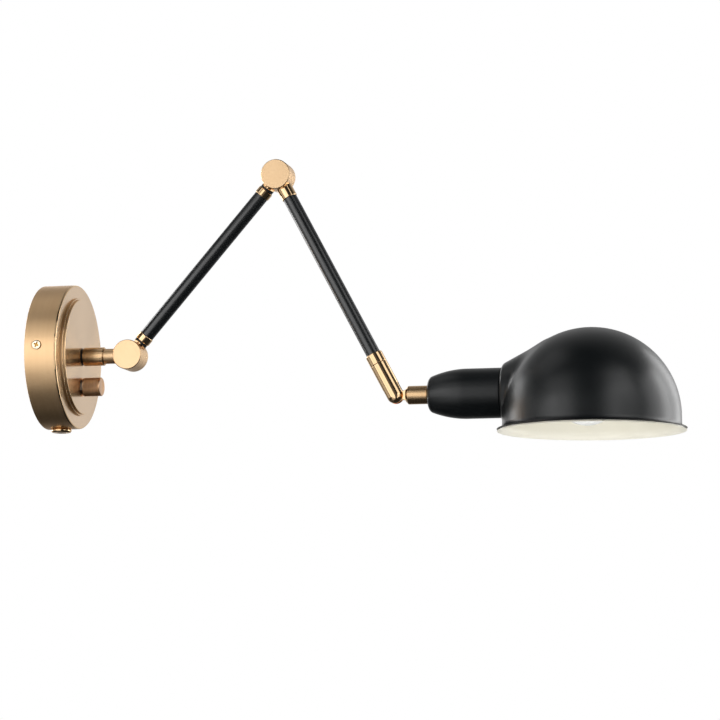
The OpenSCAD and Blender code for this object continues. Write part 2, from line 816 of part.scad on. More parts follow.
// Flared rim that ends in a round bead
module shade_rim() {
  wide = rim_r - bead_r;
  flare = wide - dome_r;
  translate([dome_r, 0, -rim_drop]) rotate_extrude() {
    polygon([
      [dome_r - shade_wall, flare_h + 0.5], [dome_r, flare_h + 0.5],
      for (t = [0:0.2:1])
        [dome_r + flare * (1 - cos(90 * t)), flare_h + (bead_r - flare_h) * sin(90 * t) + 0.4],
      [wide, bead_r - 0.8],
      for (t = [0.8:-0.2:0])
        [dome_r - shade_wall + flare * (1 - cos(90 * t)), flare_h - 0.8 + (bead_r - flare_h) * sin(90 * t)]
    ]);
    translate([wide, bead_r]) circle(r = bead_r, $fn = 32);
  }
}

// Spun half-dome shade with a side entry and a flared rim
module shade() {
  color(black) at_head() translate([shade_x, 0, 0]) difference() {
    union() {
      difference() {
        shade_body(0);
        shade_body(shade_wall);
        translate([dome_r, 0, -rim_drop - cut]) cylinder(r = dome_r + cut, h = flare_h + cut);
      }
      shade_rim();
    }
    rod_x(-cut, shade_wall + cut, holder_d / 2 + slip_fit / 2);
  }
}

// Outline of the glass from the cap to the tip, moved inwards by inset
function bulb_outline(inset) =
  let (
    from = cap_x + cap_len,
    neck_r = bulb_cap_d / 2 + 0.6 - inset,
    ball_r = bulb_d / 2 - inset,
    join = 55,
    join_x = bulb_mid - ball_r * sin(join),
    join_r = ball_r * cos(join)
  )
  [
    for (t = [0:0.125:1])
      [from + inset + (join_x - from - inset) * t, neck_r + (join_r - neck_r) * (0.35 * t + 0.65 * t * t)],
    for (a = [-join + 7.25:7.25:90 - 1]) [bulb_mid + ball_r * sin(a), ball_r * cos(a)],
    [bulb_end - inset, 0]
  ];

// Frosted bulb, blown thin, with a neck that sits in the cap
module bulb_glass() {
  plug_r = bulb_cap_d / 2 - bulb_cap_t - 0.1;
  plug_x = cap_x + cap_len - 6;
  color("white") at_head() difference() {
    turned_x([[plug_x, 0], [plug_x, plug_r], [cap_x + cap_len, plug_r], for (p = bulb_outline(0)) p]);
    turned_x([
      [plug_x - cut, 0], [plug_x - cut, plug_r - glass_t], [cap_x + cap_len, plug_r - glass_t],
      for (p = bulb_outline(glass_t)) p
    ]);
  }
}

// Thin screw cap with its centre contact
module bulb_cap() {
  color(zinc) at_head() difference() {
    union() {
      rod_x(cap_x, cap_x + 1, 3.4);
      cone_x(cap_x + 0.9, cap_x + 3.4, 5.5, bulb_cap_d / 2);
      rod_x(cap_x + 3.3, cap_x + cap_len, bulb_cap_d / 2);
    }
    cone_x(cap_x + 1.6, cap_x + 4.1, 4.5, bulb_cap_d / 2 - bulb_cap_t);
    rod_x(cap_x + 4, cap_x + cap_len + cut, bulb_cap_d / 2 - bulb_cap_t);
  }
}

wall_bracket();
ground_screw();
canopy();
face_plate();
side_screws();
base_post();
post_nut();
terminal_block();
inlet_bushing();
inlet_grommet();
inlet_nut();
dimmer_body();
dimmer_nut();
dimmer_shaft();
knob();
knob_grub_screw();
wall_drum_neck();
wall_drum_front_cap();
neck_washer();
neck_nut();
wall_drum_rear();
wall_drum_rear_cap();
wall_pivot_bolt();
wall_pivot_washer();
wall_pivot_nut();
lower_arm_wall_collar();
lower_arm_tube();
lower_arm_elbow_collar();
elbow_drum_rear();
elbow_drum_rear_cap();
elbow_pivot_bolt();
elbow_pivot_washer();
elbow_pivot_nut();
elbow_drum_front();
elbow_drum_front_cap();
upper_arm_elbow_collar();
upper_arm_tube();
head_collar();
head_clevis();
head_swivel_nut();
tilt_screw();
head_stem();
head_nipple();
cover_nut();
socket_cover();
lampholder_body();
lampholder_shell();
lampholder_contact();
shade_ring();
shade();
bulb_glass();
bulb_cap();
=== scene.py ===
"""Articulating wall light in brass and satin black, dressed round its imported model.

Lengths are millimetres until a mesh is made. Every place comes from the frame's boxes and joints.
"""

import json
import math

import bmesh
import bpy
import numpy as np
from mathutils import Matrix, Vector


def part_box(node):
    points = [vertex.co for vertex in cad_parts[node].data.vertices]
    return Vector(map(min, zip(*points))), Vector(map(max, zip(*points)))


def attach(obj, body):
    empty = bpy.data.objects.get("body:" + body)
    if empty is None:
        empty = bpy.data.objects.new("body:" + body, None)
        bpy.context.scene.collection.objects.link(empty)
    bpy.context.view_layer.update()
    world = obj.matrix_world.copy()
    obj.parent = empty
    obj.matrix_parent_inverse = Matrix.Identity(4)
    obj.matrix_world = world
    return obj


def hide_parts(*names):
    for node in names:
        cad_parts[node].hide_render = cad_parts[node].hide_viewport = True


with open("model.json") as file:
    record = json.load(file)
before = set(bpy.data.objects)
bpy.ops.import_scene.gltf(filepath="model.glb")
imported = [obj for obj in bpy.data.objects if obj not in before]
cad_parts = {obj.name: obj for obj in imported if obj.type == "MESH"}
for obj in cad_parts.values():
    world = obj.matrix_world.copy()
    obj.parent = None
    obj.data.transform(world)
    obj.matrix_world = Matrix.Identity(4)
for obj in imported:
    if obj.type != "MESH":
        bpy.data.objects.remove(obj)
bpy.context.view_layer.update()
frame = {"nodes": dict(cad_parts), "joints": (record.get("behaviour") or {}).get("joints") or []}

MM = 0.001
X, Y, Z = np.eye(3)


def box_mm(node):
    """Lowest and highest corner of a node, in millimetres."""
    low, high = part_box(node)
    return np.array(low) / MM, np.array(high) / MM


def pivot_mm(joint_name):
    """Place of a joint, in millimetres."""
    joint = next(j for j in frame["joints"] if j["name"] == joint_name)
    return np.array(joint["pos_m"], float) / MM


# Canopy, face plate and what sits on them
CANOPY_DEPTH, CANOPY_R = box_mm("canopy")[1][:2]
CANOPY_WALL = 1.5
STEP_R = box_mm("face_plate")[1][1]
FACE_X = box_mm("face_plate")[1][0]
FACE_R = STEP_R - 1.2
STEP_X = (CANOPY_DEPTH + FACE_X) / 2
SCREW_X, SCREW_Z = 10.6, 3.4
SCREW_SEAT = math.sqrt(CANOPY_R**2 - SCREW_Z**2) - 0.5
SCREW_SEAT_R = 4.8
SCREW_HEAD_R = 3.9
SCREW_TIP = box_mm("wall_bracket")[1][1] - 4
INLET_X = 12.5
INLET_SEAT = CANOPY_R - 0.8
INLET_TIP = -box_mm("inlet_bushing")[0][2]
INLET_R = 8.5
CORD_HOLE_R = 2.75
POST_R = 7.7
POST_TAIL, POST_END = box_mm("base_post")[0][0], box_mm("base_post")[1][0]
KNOB_R = 7.8
KNOB_X, KNOB_END = box_mm("knob")[0][0], box_mm("knob")[1][0]
KNOB_Z = pivot_mm("dimmer_turn")[2]

# Drum joints and arms
WALL_DRUM = pivot_mm("wall_pitch")
ELBOW = pivot_mm("elbow")
HEAD = pivot_mm("head_tilt")
DRUM_R = box_mm("wall_drum_front_cap")[1][2]
DRUM_HALF = box_mm("wall_drum_rear_cap")[1][1]
CAP_FROM = DRUM_HALF - 4
DRUM_WALL = 2.3
DRUM_BORE_R = 4.06
RELIEF = 1.5
WEB_FACE = 3.96
SEAM_EASE = 0.12
NECK_R = 6.3
COLLAR_R = 6.5
COLLAR_END = 21.5
COLLAR_BORE_R = 2.7
DARK_NECK_TO = 15.6
TUBE_R = 5.9
CLEVIS_R = 7.2
CLEVIS_LEN = 29.4
CLEVIS_TOP = CLEVIS_LEN + 0.2
SPIGOT_R = 4
HEAD_COLLAR_LEN = 9
FORK_HALF = 2.7
END_ROUND = 4.6
END_REACH = 6.5
FORK_DEPTH = 8.4

# Head, along X from the tilt axis
TONGUE_HALF = 2.5
TONGUE_HIGH = 3.7
STEM_FROM = 8.9
STEM_R = 7.5
COVER_FROM = box_mm("socket_cover")[0][0] - HEAD[0]
COVER_TO = box_mm("socket_cover")[1][0] - HEAD[0]
COVER_FACE = COVER_FROM + 0.8
COVER_R = 20.3
HOLDER_R = 17
HOLDER_FROM = box_mm("lampholder_body")[0][0] - HEAD[0]
HOLDER_TO = box_mm("lampholder_body")[1][0] - HEAD[0]
SHADE_X = box_mm("shade_ring")[0][0] - HEAD[0] - 1.2
RING_TO = box_mm("shade_ring")[1][0] - HEAD[0]
RING_R = box_mm("shade_ring")[1][1]
DOME_R = 71.6
DOME_X = 71.5
SHEET = 1.2
DOME_DROP = 21
RIM_DROP = 32.6
RIM_R = box_mm("shade")[1][1]
BEAD_R = 1.2
ENTRY_R = 24.5
ENTRY_SLOPE = math.tan(math.radians(27))
ENTRY_ROUND = 3
BULB_R = box_mm("bulb_glass")[1][1] - 0.5
BULB_END = box_mm("bulb_glass")[1][0] - HEAD[0] - 0.5
BULB_CAP_FROM = box_mm("bulb_cap")[0][0] - HEAD[0]
BULB_CAP_LEN = 26

# Finishes
LAMPHOLDER_METAL = ("lampholder_shell", "lampholder_contact")
SHARP_DEGREES = 38
LATHE_GRAIN = 4000.0


def unit(v):
    return v / np.linalg.norm(v)


def place(origin, along, side):
    """A spot with its own three directions: along the part, to its side, and across both."""
    along, side = unit(np.array(along, float)), unit(np.array(side, float))
    return np.array(origin, float), np.array([along, side, np.cross(along, side)])


LOWER_RUN = unit(ELBOW - WALL_DRUM)
UPPER_RUN = unit(HEAD - ELBOW)
LOWER_LEN = np.linalg.norm(ELBOW - WALL_DRUM)
UPPER_LEN = np.linalg.norm(HEAD - ELBOW)
AT_WALL = place((0, 0, 0), X, Y)
AT_KNOB = place((0, 0, KNOB_Z), X, Y)
AT_INLET = place((INLET_X, 0, 0), -Z, X)
AT_NECK = place(WALL_DRUM, -X, Y)
ON_LOWER = place(WALL_DRUM, LOWER_RUN, Y)
ON_LOWER_END = place(ELBOW, -LOWER_RUN, Y)
ON_UPPER = place(ELBOW, UPPER_RUN, Y)
ON_CLEVIS = place(HEAD, UPPER_RUN, Y)
ON_HEAD = place(HEAD, X, Y)
ACROSS_HEAD = place(HEAD, Y, X)
UNDER_DOME = place(HEAD + (SHADE_X + DOME_X) * X - DOME_DROP * Z, Z, X)


def outline(*corners, closed=False, steps=6):
    """Points through (station, radius, rounding) corners. A corner with a rounding becomes an arc that
    touches both its sides, with one more point on each side just past the arc to keep the flats flat."""
    spots = [np.array(corner[:2], float) for corner in corners]
    points = []
    for i, spot in enumerate(spots):
        rounding = corners[i][2] if len(corners[i]) > 2 else 0
        if not rounding or (not closed and i in (0, len(spots) - 1)):
            points.append(spot)
            continue
        back, ahead = unit(spots[i - 1] - spot), unit(spots[(i + 1) % len(spots)] - spot)
        half = 0.5 * math.acos(np.clip(back @ ahead, -1, 1))
        reach = rounding / math.tan(half)
        centre = spot + unit(back + ahead) * rounding / math.sin(half)
        start, end = spot + back * reach - centre, spot + ahead * reach - centre
        turn = math.pi - 2 * half
        share = np.linspace(0, 1, steps + 1)[:, None]
        arc = (np.sin((1 - share) * turn) * start + np.sin(share * turn) * end) / math.sin(turn)
        points.append(spot + back * reach * 1.3)
        points.extend(centre + arc)
        points.append(spot + ahead * reach * 1.3)
    return np.array(points)


def patch(points, wrap_rows=False, wrap_columns=True, paint=0, keep=None):
    """A grid of points (rows, columns, 3) and how it closes; keep says which cells are made."""
    return points, wrap_rows, wrap_columns, paint, keep


def full_turn(columns):
    """Even angles once round an axis."""
    return np.linspace(0, 2 * np.pi, columns, endpoint=False)


def swept(station, radius, turns):
    """Points round an axis, in a place's own directions: station, then radius * cos and sin of turn."""
    return np.stack([station + 0 * turns, radius * np.cos(turns), radius * np.sin(turns)], -1)


def put(local, spot):
    """Points carried from a place's own directions into the frame."""
    return spot[0] + local @ spot[1]


def turned(profile, spot, columns=96, closed=False, paint=0, turns=None):
    """A profile of (station, radius) points swept round the axis of a place:
    point = origin + station * along + radius * (cos turn * side + sin turn * across)."""
    if turns is None:
        turns = full_turn(columns)
    return patch(put(swept(profile[:, :1], profile[:, 1:], turns), spot), wrap_rows=closed, paint=paint)


def cells(points, wrap_rows, wrap_columns, keep):
    """Corner numbers of the grid's four-sided cells."""
    rows, columns = points.shape[:2]
    r, c = np.meshgrid(
        np.arange(rows - (not wrap_rows)), np.arange(columns - (not wrap_columns)), indexing="ij"
    )
    r1, c1 = (r + 1) % rows, (c + 1) % columns
    quads = np.stack([r * columns + c, r * columns + c1, r1 * columns + c1, r1 * columns + c], -1)
    return quads[keep] if keep is not None else quads.reshape(-1, 4)


def piece(name, patches, body, nodes, finishes):
    """Joins patches into one closed mesh with outward normals, and puts it on its body."""
    points, faces, paints, start = [], [], [], 0
    for grid, wrap_rows, wrap_columns, paint, keep in patches:
        quads = cells(grid, wrap_rows, wrap_columns, keep) + start
        points.append(grid.reshape(-1, 3) * MM)
        faces.append(quads)
        paints.append(np.full(len(quads), paint))
        start += grid.shape[0] * grid.shape[1]
    mesh = bpy.data.meshes.new(name)
    mesh.from_pydata(np.concatenate(points), [], np.concatenate(faces).tolist())
    mesh.polygons.foreach_set("material_index", np.concatenate(paints).astype(np.int32))
    work = bmesh.new()
    work.from_mesh(mesh)
    bmesh.ops.remove_doubles(work, verts=work.verts, dist=2e-6)
    bmesh.ops.recalc_face_normals(work, faces=work.faces)
    work.to_mesh(mesh)
    work.free()
    mesh.polygons.foreach_set("use_smooth", np.ones(len(mesh.polygons), bool))
    mesh.set_sharp_from_angle(angle=math.radians(SHARP_DEGREES))
    for finish in finishes:
        mesh.materials.append(finish)
    made = bpy.data.objects.new(name, mesh)
    bpy.context.scene.collection.objects.link(made)
    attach(made, body)
    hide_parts(*nodes)


class Graph:
    """A node tree of a material or a world, and the short calls that add its nodes."""

    def __init__(self, owner):
        owner.use_nodes = True
        self.nodes, self.links = owner.node_tree.nodes, owner.node_tree.links

    def node(self, kind, inputs=None, **settings):
        """Adds a node, sets its fields, and fills its inputs with constants or other nodes' sockets."""
        made = self.nodes.new("ShaderNode" + kind)
        for field, value in settings.items():
            setattr(made, field, value)
        for socket, value in (inputs or {}).items():
            self.fill(made.inputs[socket], value)
        return made

    def fill(self, socket, value):
        if isinstance(value, bpy.types.NodeSocket):
            self.links.new(value, socket)
        else:
            socket.default_value = value

    def math(self, operation, *values):
        made = self.node("Math", operation=operation)
        for socket, value in zip(made.inputs, values):
            self.fill(socket, value)
        return made.outputs[0]

    def span(self, value, low, high, to_low, to_high, **settings):
        """Carries a value from one range to another and stays inside the second."""
        inputs = {"Value": value, "From Min": low, "From Max": high, "To Min": to_low, "To Max": to_high}
        return self.node("MapRange", inputs, **settings).outputs["Result"]


class Paint(Graph):
    """One surface's material. Its patterns lie on Object coordinates."""

    def __init__(self, name):
        self.material = bpy.data.materials.new(name)
        super().__init__(self.material)
        self.shader = self.nodes["Principled BSDF"]

    def noise(self, vector, scale, detail=2.0, roughness=0.5):
        inputs = {"Vector": vector, "Scale": scale, "Detail": detail, "Roughness": roughness}
        return self.node("TexNoise", inputs).outputs["Fac"]

    def tones(self, share, dark, light):
        """A colour between two tones."""
        made = self.node("Mix", data_type="RGBA")
        self.fill(made.inputs[0], share)
        self.fill(made.inputs[6], (*dark, 1))
        self.fill(made.inputs[7], (*light, 1))
        return made.outputs[2]

    def set(self, **values):
        for socket, value in values.items():
            self.fill(self.shader.inputs[socket.replace("_", " ")], value)

    def bump(self, height, depth):
        """Bump of a height that runs from 0 to 1 over a depth in millimetres."""
        inputs = {"Height": height, "Distance": depth * MM, "Strength": 1.0}
        return self.node("Bump", inputs).outputs["Normal"]

    def coordinates(self, spot=None):
        """Object coordinates, or the same measured along a place's own directions."""
        made = self.node("TexCoord").outputs["Object"]
        if spot is None:
            return made
        origin, axes = spot
        turn = Matrix(axes.T.tolist()).to_euler("XYZ")
        inputs = {"Vector": made, "Location": tuple(origin * MM), "Rotation": turn}
        return self.node("Mapping", inputs, vector_type="TEXTURE").outputs["Vector"]


def ring_coordinates(paint, spot):
    """Station along the axis and distance from it, as a vector: equal all round each lathe line."""
    parts = paint.node("SeparateXYZ", {"Vector": paint.coordinates(spot)})
    square_y = paint.math("POWER", parts.outputs["Y"], 2.0)
    square_z = paint.math("POWER", parts.outputs["Z"], 2.0)
    radius = paint.math("SQRT", paint.math("ADD", square_y, square_z))
    return paint.node("CombineXYZ", {"X": parts.outputs["X"], "Y": radius, "Z": 0.0}).outputs[0]


BRASS_DEEP = (0.82, 0.53, 0.28)
BRASS_LIGHT = (0.95, 0.66, 0.38)


def turned_brass(name, spot, rough, groove, tones=(BRASS_DEEP, BRASS_LIGHT), polished=False):
    """Brass finished on a lathe: fine rings in height and gloss, and a faint cloudy change of tone.
    Polished, it gets a clear coat and a gloss stretched away from the X axis, as round grain does."""
    paint = Paint(name)
    rings = ring_coordinates(paint, spot)
    fine = paint.noise(rings, LATHE_GRAIN, detail=3.0, roughness=0.7)
    broad = paint.noise(rings, LATHE_GRAIN / 12)
    clouds = paint.noise(paint.coordinates(), 60.0, detail=3.0)
    share = paint.math("MULTIPLY_ADD", broad, 0.5, paint.math("MULTIPLY", clouds, 0.6))
    paint.set(
        Base_Color=paint.tones(share, *tones),
        Metallic=1.0,
        Roughness=paint.span(fine, 0.3, 0.7, *rough),
        Normal=paint.bump(fine, groove),
    )
    if polished:
        away = paint.node("VectorMath", {0: paint.coordinates(), 1: (0, 1, 1)}, operation="MULTIPLY")
        paint.set(Anisotropic=0.9, Tangent=away.outputs[0], Coat_Weight=1.0, Coat_Roughness=0.06)
    return paint.material


def smeared(name, tones, rough, smears, skin=None, **settings):
    """A finish between two close tones, with smears in its gloss and a fine skin. Smears are the scale,
    detail and roughness of a noise. The skin is a noise's scale and detail and a depth in millimetres."""
    paint = Paint(name)
    spots = paint.coordinates()
    share = paint.noise(spots, *smears)
    gloss = paint.span(share, 0.3, 0.7, *rough)
    paint.set(Base_Color=paint.tones(share, *tones), Roughness=gloss, **settings)
    if skin:
        *texture, depth = skin
        paint.set(Normal=paint.bump(paint.noise(spots, *texture), depth))
    return paint.material


def polished_brass(name, rough=(0.07, 0.12), tones=((0.88, 0.59, 0.32), (0.96, 0.69, 0.41))):
    """Polished and lacquered brass: soft smears in its gloss and a trace of polishing waves."""
    return smeared(name, tones, rough, (180.0, 4.0, 0.6), (500.0, 2.0, 0.0006), Metallic=1.0)


def brushed_brass(name):
    """Drum brass: grained in straight lines, seen as long thin streaks."""
    paint = Paint(name)
    inputs = {"Vector": paint.coordinates(), "Rotation": (0, 0.35, 0), "Scale": (0.06, 1.0, 1.0)}
    stretched = paint.node("Mapping", inputs).outputs["Vector"]
    streaks = paint.noise(stretched, 5000.0, detail=3.0, roughness=0.65)
    clouds = paint.noise(paint.coordinates(), 90.0, detail=3.0)
    paint.set(
        Base_Color=paint.tones(clouds, (0.88, 0.6, 0.34), (0.95, 0.67, 0.4)),
        Metallic=1.0,
        Roughness=paint.span(streaks, 0.3, 0.7, 0.3, 0.42),
        Normal=paint.bump(streaks, 0.0004),
    )
    return paint.material


def satin_black(name, rough, gloss, peel=0.002):
    """Black coat with a slight orange peel and a smeared gloss."""
    tones = ((0.0018, 0.0028, 0.0034), (0.0028, 0.0042, 0.005))
    return smeared(name, tones, rough, (45.0, 4.0, 0.6), (420.0, 1.0, peel), IOR=gloss)


def cream_enamel(name):
    """Cream enamel inside the shade, with a soft eggshell gloss and a faint ripple."""
    tones = ((0.87, 0.84, 0.725), (0.91, 0.88, 0.775))
    return smeared(name, tones, (0.32, 0.42), (35.0, 3.0, 0.5), (700.0, 2.0, 0.02))


def opal_glass(name):
    """Opal bulb glass: white with a soft gloss."""
    return smeared(name, ((0.93, 0.93, 0.9), (0.96, 0.96, 0.94)), (0.2, 0.3), (60.0, 3.0, 0.5))


def plain_coat(name, dark, light, rough, metallic=0.0, scale=400.0):
    """A small part's finish: two close tones, uneven gloss and a fine skin."""
    paint = Paint(name)
    spots = paint.coordinates()
    grain = paint.noise(spots, scale, detail=4.0, roughness=0.6)
    paint.set(
        Base_Color=paint.tones(grain, dark, light),
        Metallic=metallic,
        Roughness=paint.span(grain, 0.3, 0.7, *rough),
        Normal=paint.bump(grain, 0.01),
    )
    return paint.material


def arc_rows(centre, radius, start, end, count):
    """Points on an arc of a profile between two angles in degrees, measured from the axis direction."""
    angle = np.radians(np.linspace(start, end, count))
    return centre + radius * np.stack([np.cos(angle), np.sin(angle)], -1)


def boundary_loop(top, bottom, left, right):
    """Grid places (row, column) once round a rectangle of cells."""
    rows, columns = np.arange(top, bottom), np.arange(left, right)
    return np.concatenate([
        np.stack([np.full(len(columns), top), columns], -1),
        np.stack([rows, np.full(len(rows), right)], -1),
        np.stack([np.full(len(columns), bottom), right - (columns - left)], -1),
        np.stack([bottom - (rows - top), np.full(len(rows), left)], -1),
    ])


def round_seat(edge, station, seat_r, flat, facing):
    """A flat round seat in the canopy wall. It runs from the grid's own edge points to a circle on the
    wall, down to the flat, and to the middle. Facing is the direction that the seat looks in. A seat on
    either side has its middle SCREW_Z above the axis, and the one below has it on the axis."""
    sideways = unit(np.cross(X, facing))
    centre = np.array([station, SCREW_Z * (sideways @ Z)])
    across = np.stack([edge @ X, edge @ sideways], -1) - centre
    distance = np.linalg.norm(across, axis=1, keepdims=True)
    away = across / distance

    def lifted(flat_spots, height):
        return flat_spots[:, :1] * X + flat_spots[:, 1:] * sideways + np.reshape(height, (-1, 1)) * facing

    def on_wall(reach):
        spots = centre + away * reach
        return lifted(spots, np.sqrt(CANOPY_R**2 - spots[:, 1] ** 2))

    rows = [edge]
    rows += [on_wall(seat_r + (distance - seat_r) * share) for share in (0.75, 0.5, 0.25, 0.08, 0)]
    rows += [lifted(centre + away * seat_r * share, flat) for share in (1, 0.9, 0.5, 0)]
    return patch(np.array(rows))


def canopy_cup():
    """Spun cup: a wall with three flat seats, a rounded front corner and an open back. The wall is a
    grid of stations and turns, and each seat takes the place of a square block of its cells. A seat has
    its facing, the turn and station of its middle, its block's half width and cells, its radius and
    its height."""
    tilt = math.asin(SCREW_Z / CANOPY_R)
    seats = [
        (Y, tilt, SCREW_X, 6.0, 12, SCREW_SEAT_R, SCREW_SEAT),
        (-Y, math.pi - tilt, SCREW_X, 6.0, 12, SCREW_SEAT_R, SCREW_SEAT),
        (-Z, 1.5 * math.pi, INLET_X, 10.3, 16, INLET_R + 0.3, INLET_SEAT),
    ]
    back_edge, front_from, gap_turn, seam_r = 0.3, 25.7, 0.05, 50
    columns = [np.linspace(x - half, x + half, count + 1) for _, _, x, half, count, *_ in seats]
    stations = np.unique(np.round(np.concatenate([[back_edge], *columns, [front_from]]), 4))
    spans = [(turn - half / CANOPY_R, turn + half / CANOPY_R) for _, turn, _, half, *_ in seats]
    turns = [np.linspace(*span, seat[4] + 1) for span, seat in zip(spans, seats)]
    for (_, end), start in zip(spans, [spans[1][0], spans[2][0], spans[0][0] + 2 * math.pi]):
        turns.append(np.linspace(end, start, max(2, round((start - end) / gap_turn)) + 1)[1:-1])
    turns = np.sort(np.concatenate(turns))

    corner_steps = 8
    wall = np.stack([stations, np.full(len(stations), CANOPY_R)], -1)
    front = outline(
        (front_from - 0.2, CANOPY_R), (CANOPY_DEPTH, CANOPY_R, 1.3), (CANOPY_DEPTH, seam_r),
        steps=corner_steps,
    )[1:]
    inner, hole_r = CANOPY_R - CANOPY_WALL, 12
    inside = outline(
        (CANOPY_DEPTH, seam_r - 1), (CANOPY_DEPTH, hole_r), (CANOPY_DEPTH - CANOPY_WALL, hole_r),
        (CANOPY_DEPTH - CANOPY_WALL, inner, 0.8), (0, inner, 0.2), (0, CANOPY_R, back_edge), (8, CANOPY_R),
        steps=4,
    )[:-2]
    profile = np.concatenate([wall, front, inside])
    grid, wrap_rows, wrap_columns, *_ = turned(profile, AT_WALL, closed=True, turns=turns)

    keep = np.ones((len(profile), len(turns)), bool)
    patches = []
    for (facing, _, x, half, _, seat_r, flat), (start, end) in zip(seats, spans):
        top, bottom = (int(np.abs(stations - edge).argmin()) for edge in (x - half, x + half))
        left, right = (int(np.abs(turns - edge).argmin()) for edge in (start, end))
        keep[top:bottom, left:right] = False
        loop = boundary_loop(top, bottom, left, right)
        patches.append(round_seat(grid[loop[:, 0], loop[:, 1]], x, seat_r, flat, facing))
    cell_paint = np.zeros_like(keep, int)
    corner_to = len(wall) + corner_steps + 1
    cell_paint[len(wall) : corner_to] = 2
    cell_paint[corner_to : len(wall) + len(front) + 1] = 1
    coats = [patch(grid, wrap_rows, wrap_columns, coat, keep & (cell_paint == coat)) for coat in (2, 1, 0)]
    return coats + patches


def face_disc():
    """Two thin turned steps on the canopy front: satin walls, polished flats and an eased edge between."""
    columns = 192
    profile = outline(
        (CANOPY_DEPTH, 0), (CANOPY_DEPTH, STEP_R), (STEP_X - 0.5, STEP_R), (STEP_X, STEP_R, 0.4),
        (STEP_X, FACE_R), (FACE_X - 0.6, FACE_R), (FACE_X, FACE_R, 0.5), (FACE_X, 0), steps=4,
    )
    along, out = np.abs(np.diff(profile, axis=0)).T
    paint = np.where(along < 0.1 * out, 1, np.where(out < 0.1 * along, 0, 2))
    return [turned(profile, AT_WALL, columns=columns, paint=np.repeat(paint, columns))]


def thread(start, end, radius, pitch, depth, spot, columns=48):
    """A round bar whose radius drops by the depth in a triangle wave that climbs one pitch a turn."""
    rows = max(3, int((end - start) / pitch * 8))
    turns = full_turn(columns)
    station = np.linspace(start, end, rows)[:, None]
    phase = (station / pitch - turns / (2 * np.pi)) % 1
    local = swept(station, radius - depth * np.abs(2 * phase - 1), turns)
    ends = [local[:1] * [1, 0, 0], local, local[-1:] * [1, 0, 0]]
    return patch(put(np.concatenate(ends), spot))


def headed(height, u, v, spot, paint=0):
    """A screw head: its height over the seat at each point of rings that shrink to the middle, closed
    by a straight skirt and a flat foot."""
    top = np.stack([height, u, v], -1)
    skirt = top[:1] * [0, 1, 1]
    return patch(put(np.concatenate([0 * skirt, skirt, top]), spot), paint=paint)


def side_screw(side):
    """Pan-head screw through the canopy wall, with a cross recess and a thread behind. The head's
    height is its rim, plus a crown that falls with the square of the radius, less a drop at the edge
    and the recess where a point lies on either arm of the cross. Recess and rim take a darker amber
    brass: painted shade."""
    seat = place((SCREW_X, side * SCREW_SEAT, SCREW_Z), side * Y, X + 0.5 * side * Z)
    rim, crown, edge_drop, rim_shade_from = 1.1, 0.5, 0.35, 0.94
    cross_half, cross_reach, cross_deep = 0.7, 2.1, 0.9
    turns = full_turn(144)
    share = np.concatenate([np.linspace(0, 0.72, 34), np.linspace(0.75, 1, 8)])[::-1][:, None]
    u, v = share * SCREW_HEAD_R * np.cos(turns), share * SCREW_HEAD_R * np.sin(turns)

    def arm(a, b):
        side_fade = np.clip((cross_half - np.abs(a)) / 0.12, 0, 1)
        end_fade = np.clip((cross_reach - np.abs(b)) / 0.3, 0, 1)
        return side_fade * end_fade

    cross = np.maximum(arm(u, v), arm(v, u))
    drop = edge_drop * np.clip((share - 0.9) / 0.1, 0, 1) ** 2
    height = rim + crown * (1 - share**2) - drop - cross_deep * cross
    # Recess and rim cells take the darker amber brass: painted shade.
    recess_shade = (cross > 0.3) | (share > rim_shade_from)
    paint = np.concatenate([np.ones((2, len(turns)), int), (recess_shade[1:] | recess_shade[:-1]).astype(int)])
    deep = SCREW_SEAT - SCREW_TIP + 4
    return [headed(height, u, v, seat, paint.ravel()), thread(-deep, 0.2, 2.0, 0.7, 0.28, seat)]


def fixed_post():
    """Post with a foot groove painted black as painted shade, three fine turned lines, a chamfered
    nose, and a threaded tail behind the plate."""
    columns, bore_r, nose = 128, 4.05, 0.7
    groove_r, groove_to = POST_R - 1.5, FACE_X + 1.3

    def line(back, deep):
        x, half = POST_END - back, 0.1
        return [
            (x - half - 0.15, POST_R), (x - half, POST_R), (x - half / 2, POST_R - deep),
            (x + half / 2, POST_R - deep), (x + half, POST_R), (x + half + 0.15, POST_R),
        ]

    profile = outline(
        (FACE_X - 1, 0), (FACE_X - 1, 6), (FACE_X, 6), (FACE_X, groove_r), (groove_to, groove_r),
        (groove_to, POST_R - 0.2), (groove_to + 0.2, POST_R), (groove_to + 0.4, POST_R),
        *line(5.4, 0.04), *line(2.6, 0.05), *line(1.7, 0.05),
        (POST_END - nose - 0.2, POST_R), (POST_END - nose, POST_R), (POST_END, POST_R - nose),
        (POST_END, bore_r), (FACE_X + 2, bore_r), (FACE_X + 2, 0),
    )
    start, end = profile[:-1], profile[1:]
    # The foot groove's cells take the black coat: painted shade.
    groove = (start[:, 0] >= FACE_X) & (end[:, 1] < POST_R) & (end[:, 0] < groove_to + 0.1)
    return [
        turned(profile, AT_WALL, columns, paint=np.repeat(groove.astype(int), columns)),
        thread(POST_TAIL, FACE_X, 6.0, 1.0, 0.35, AT_WALL, 72),
    ]


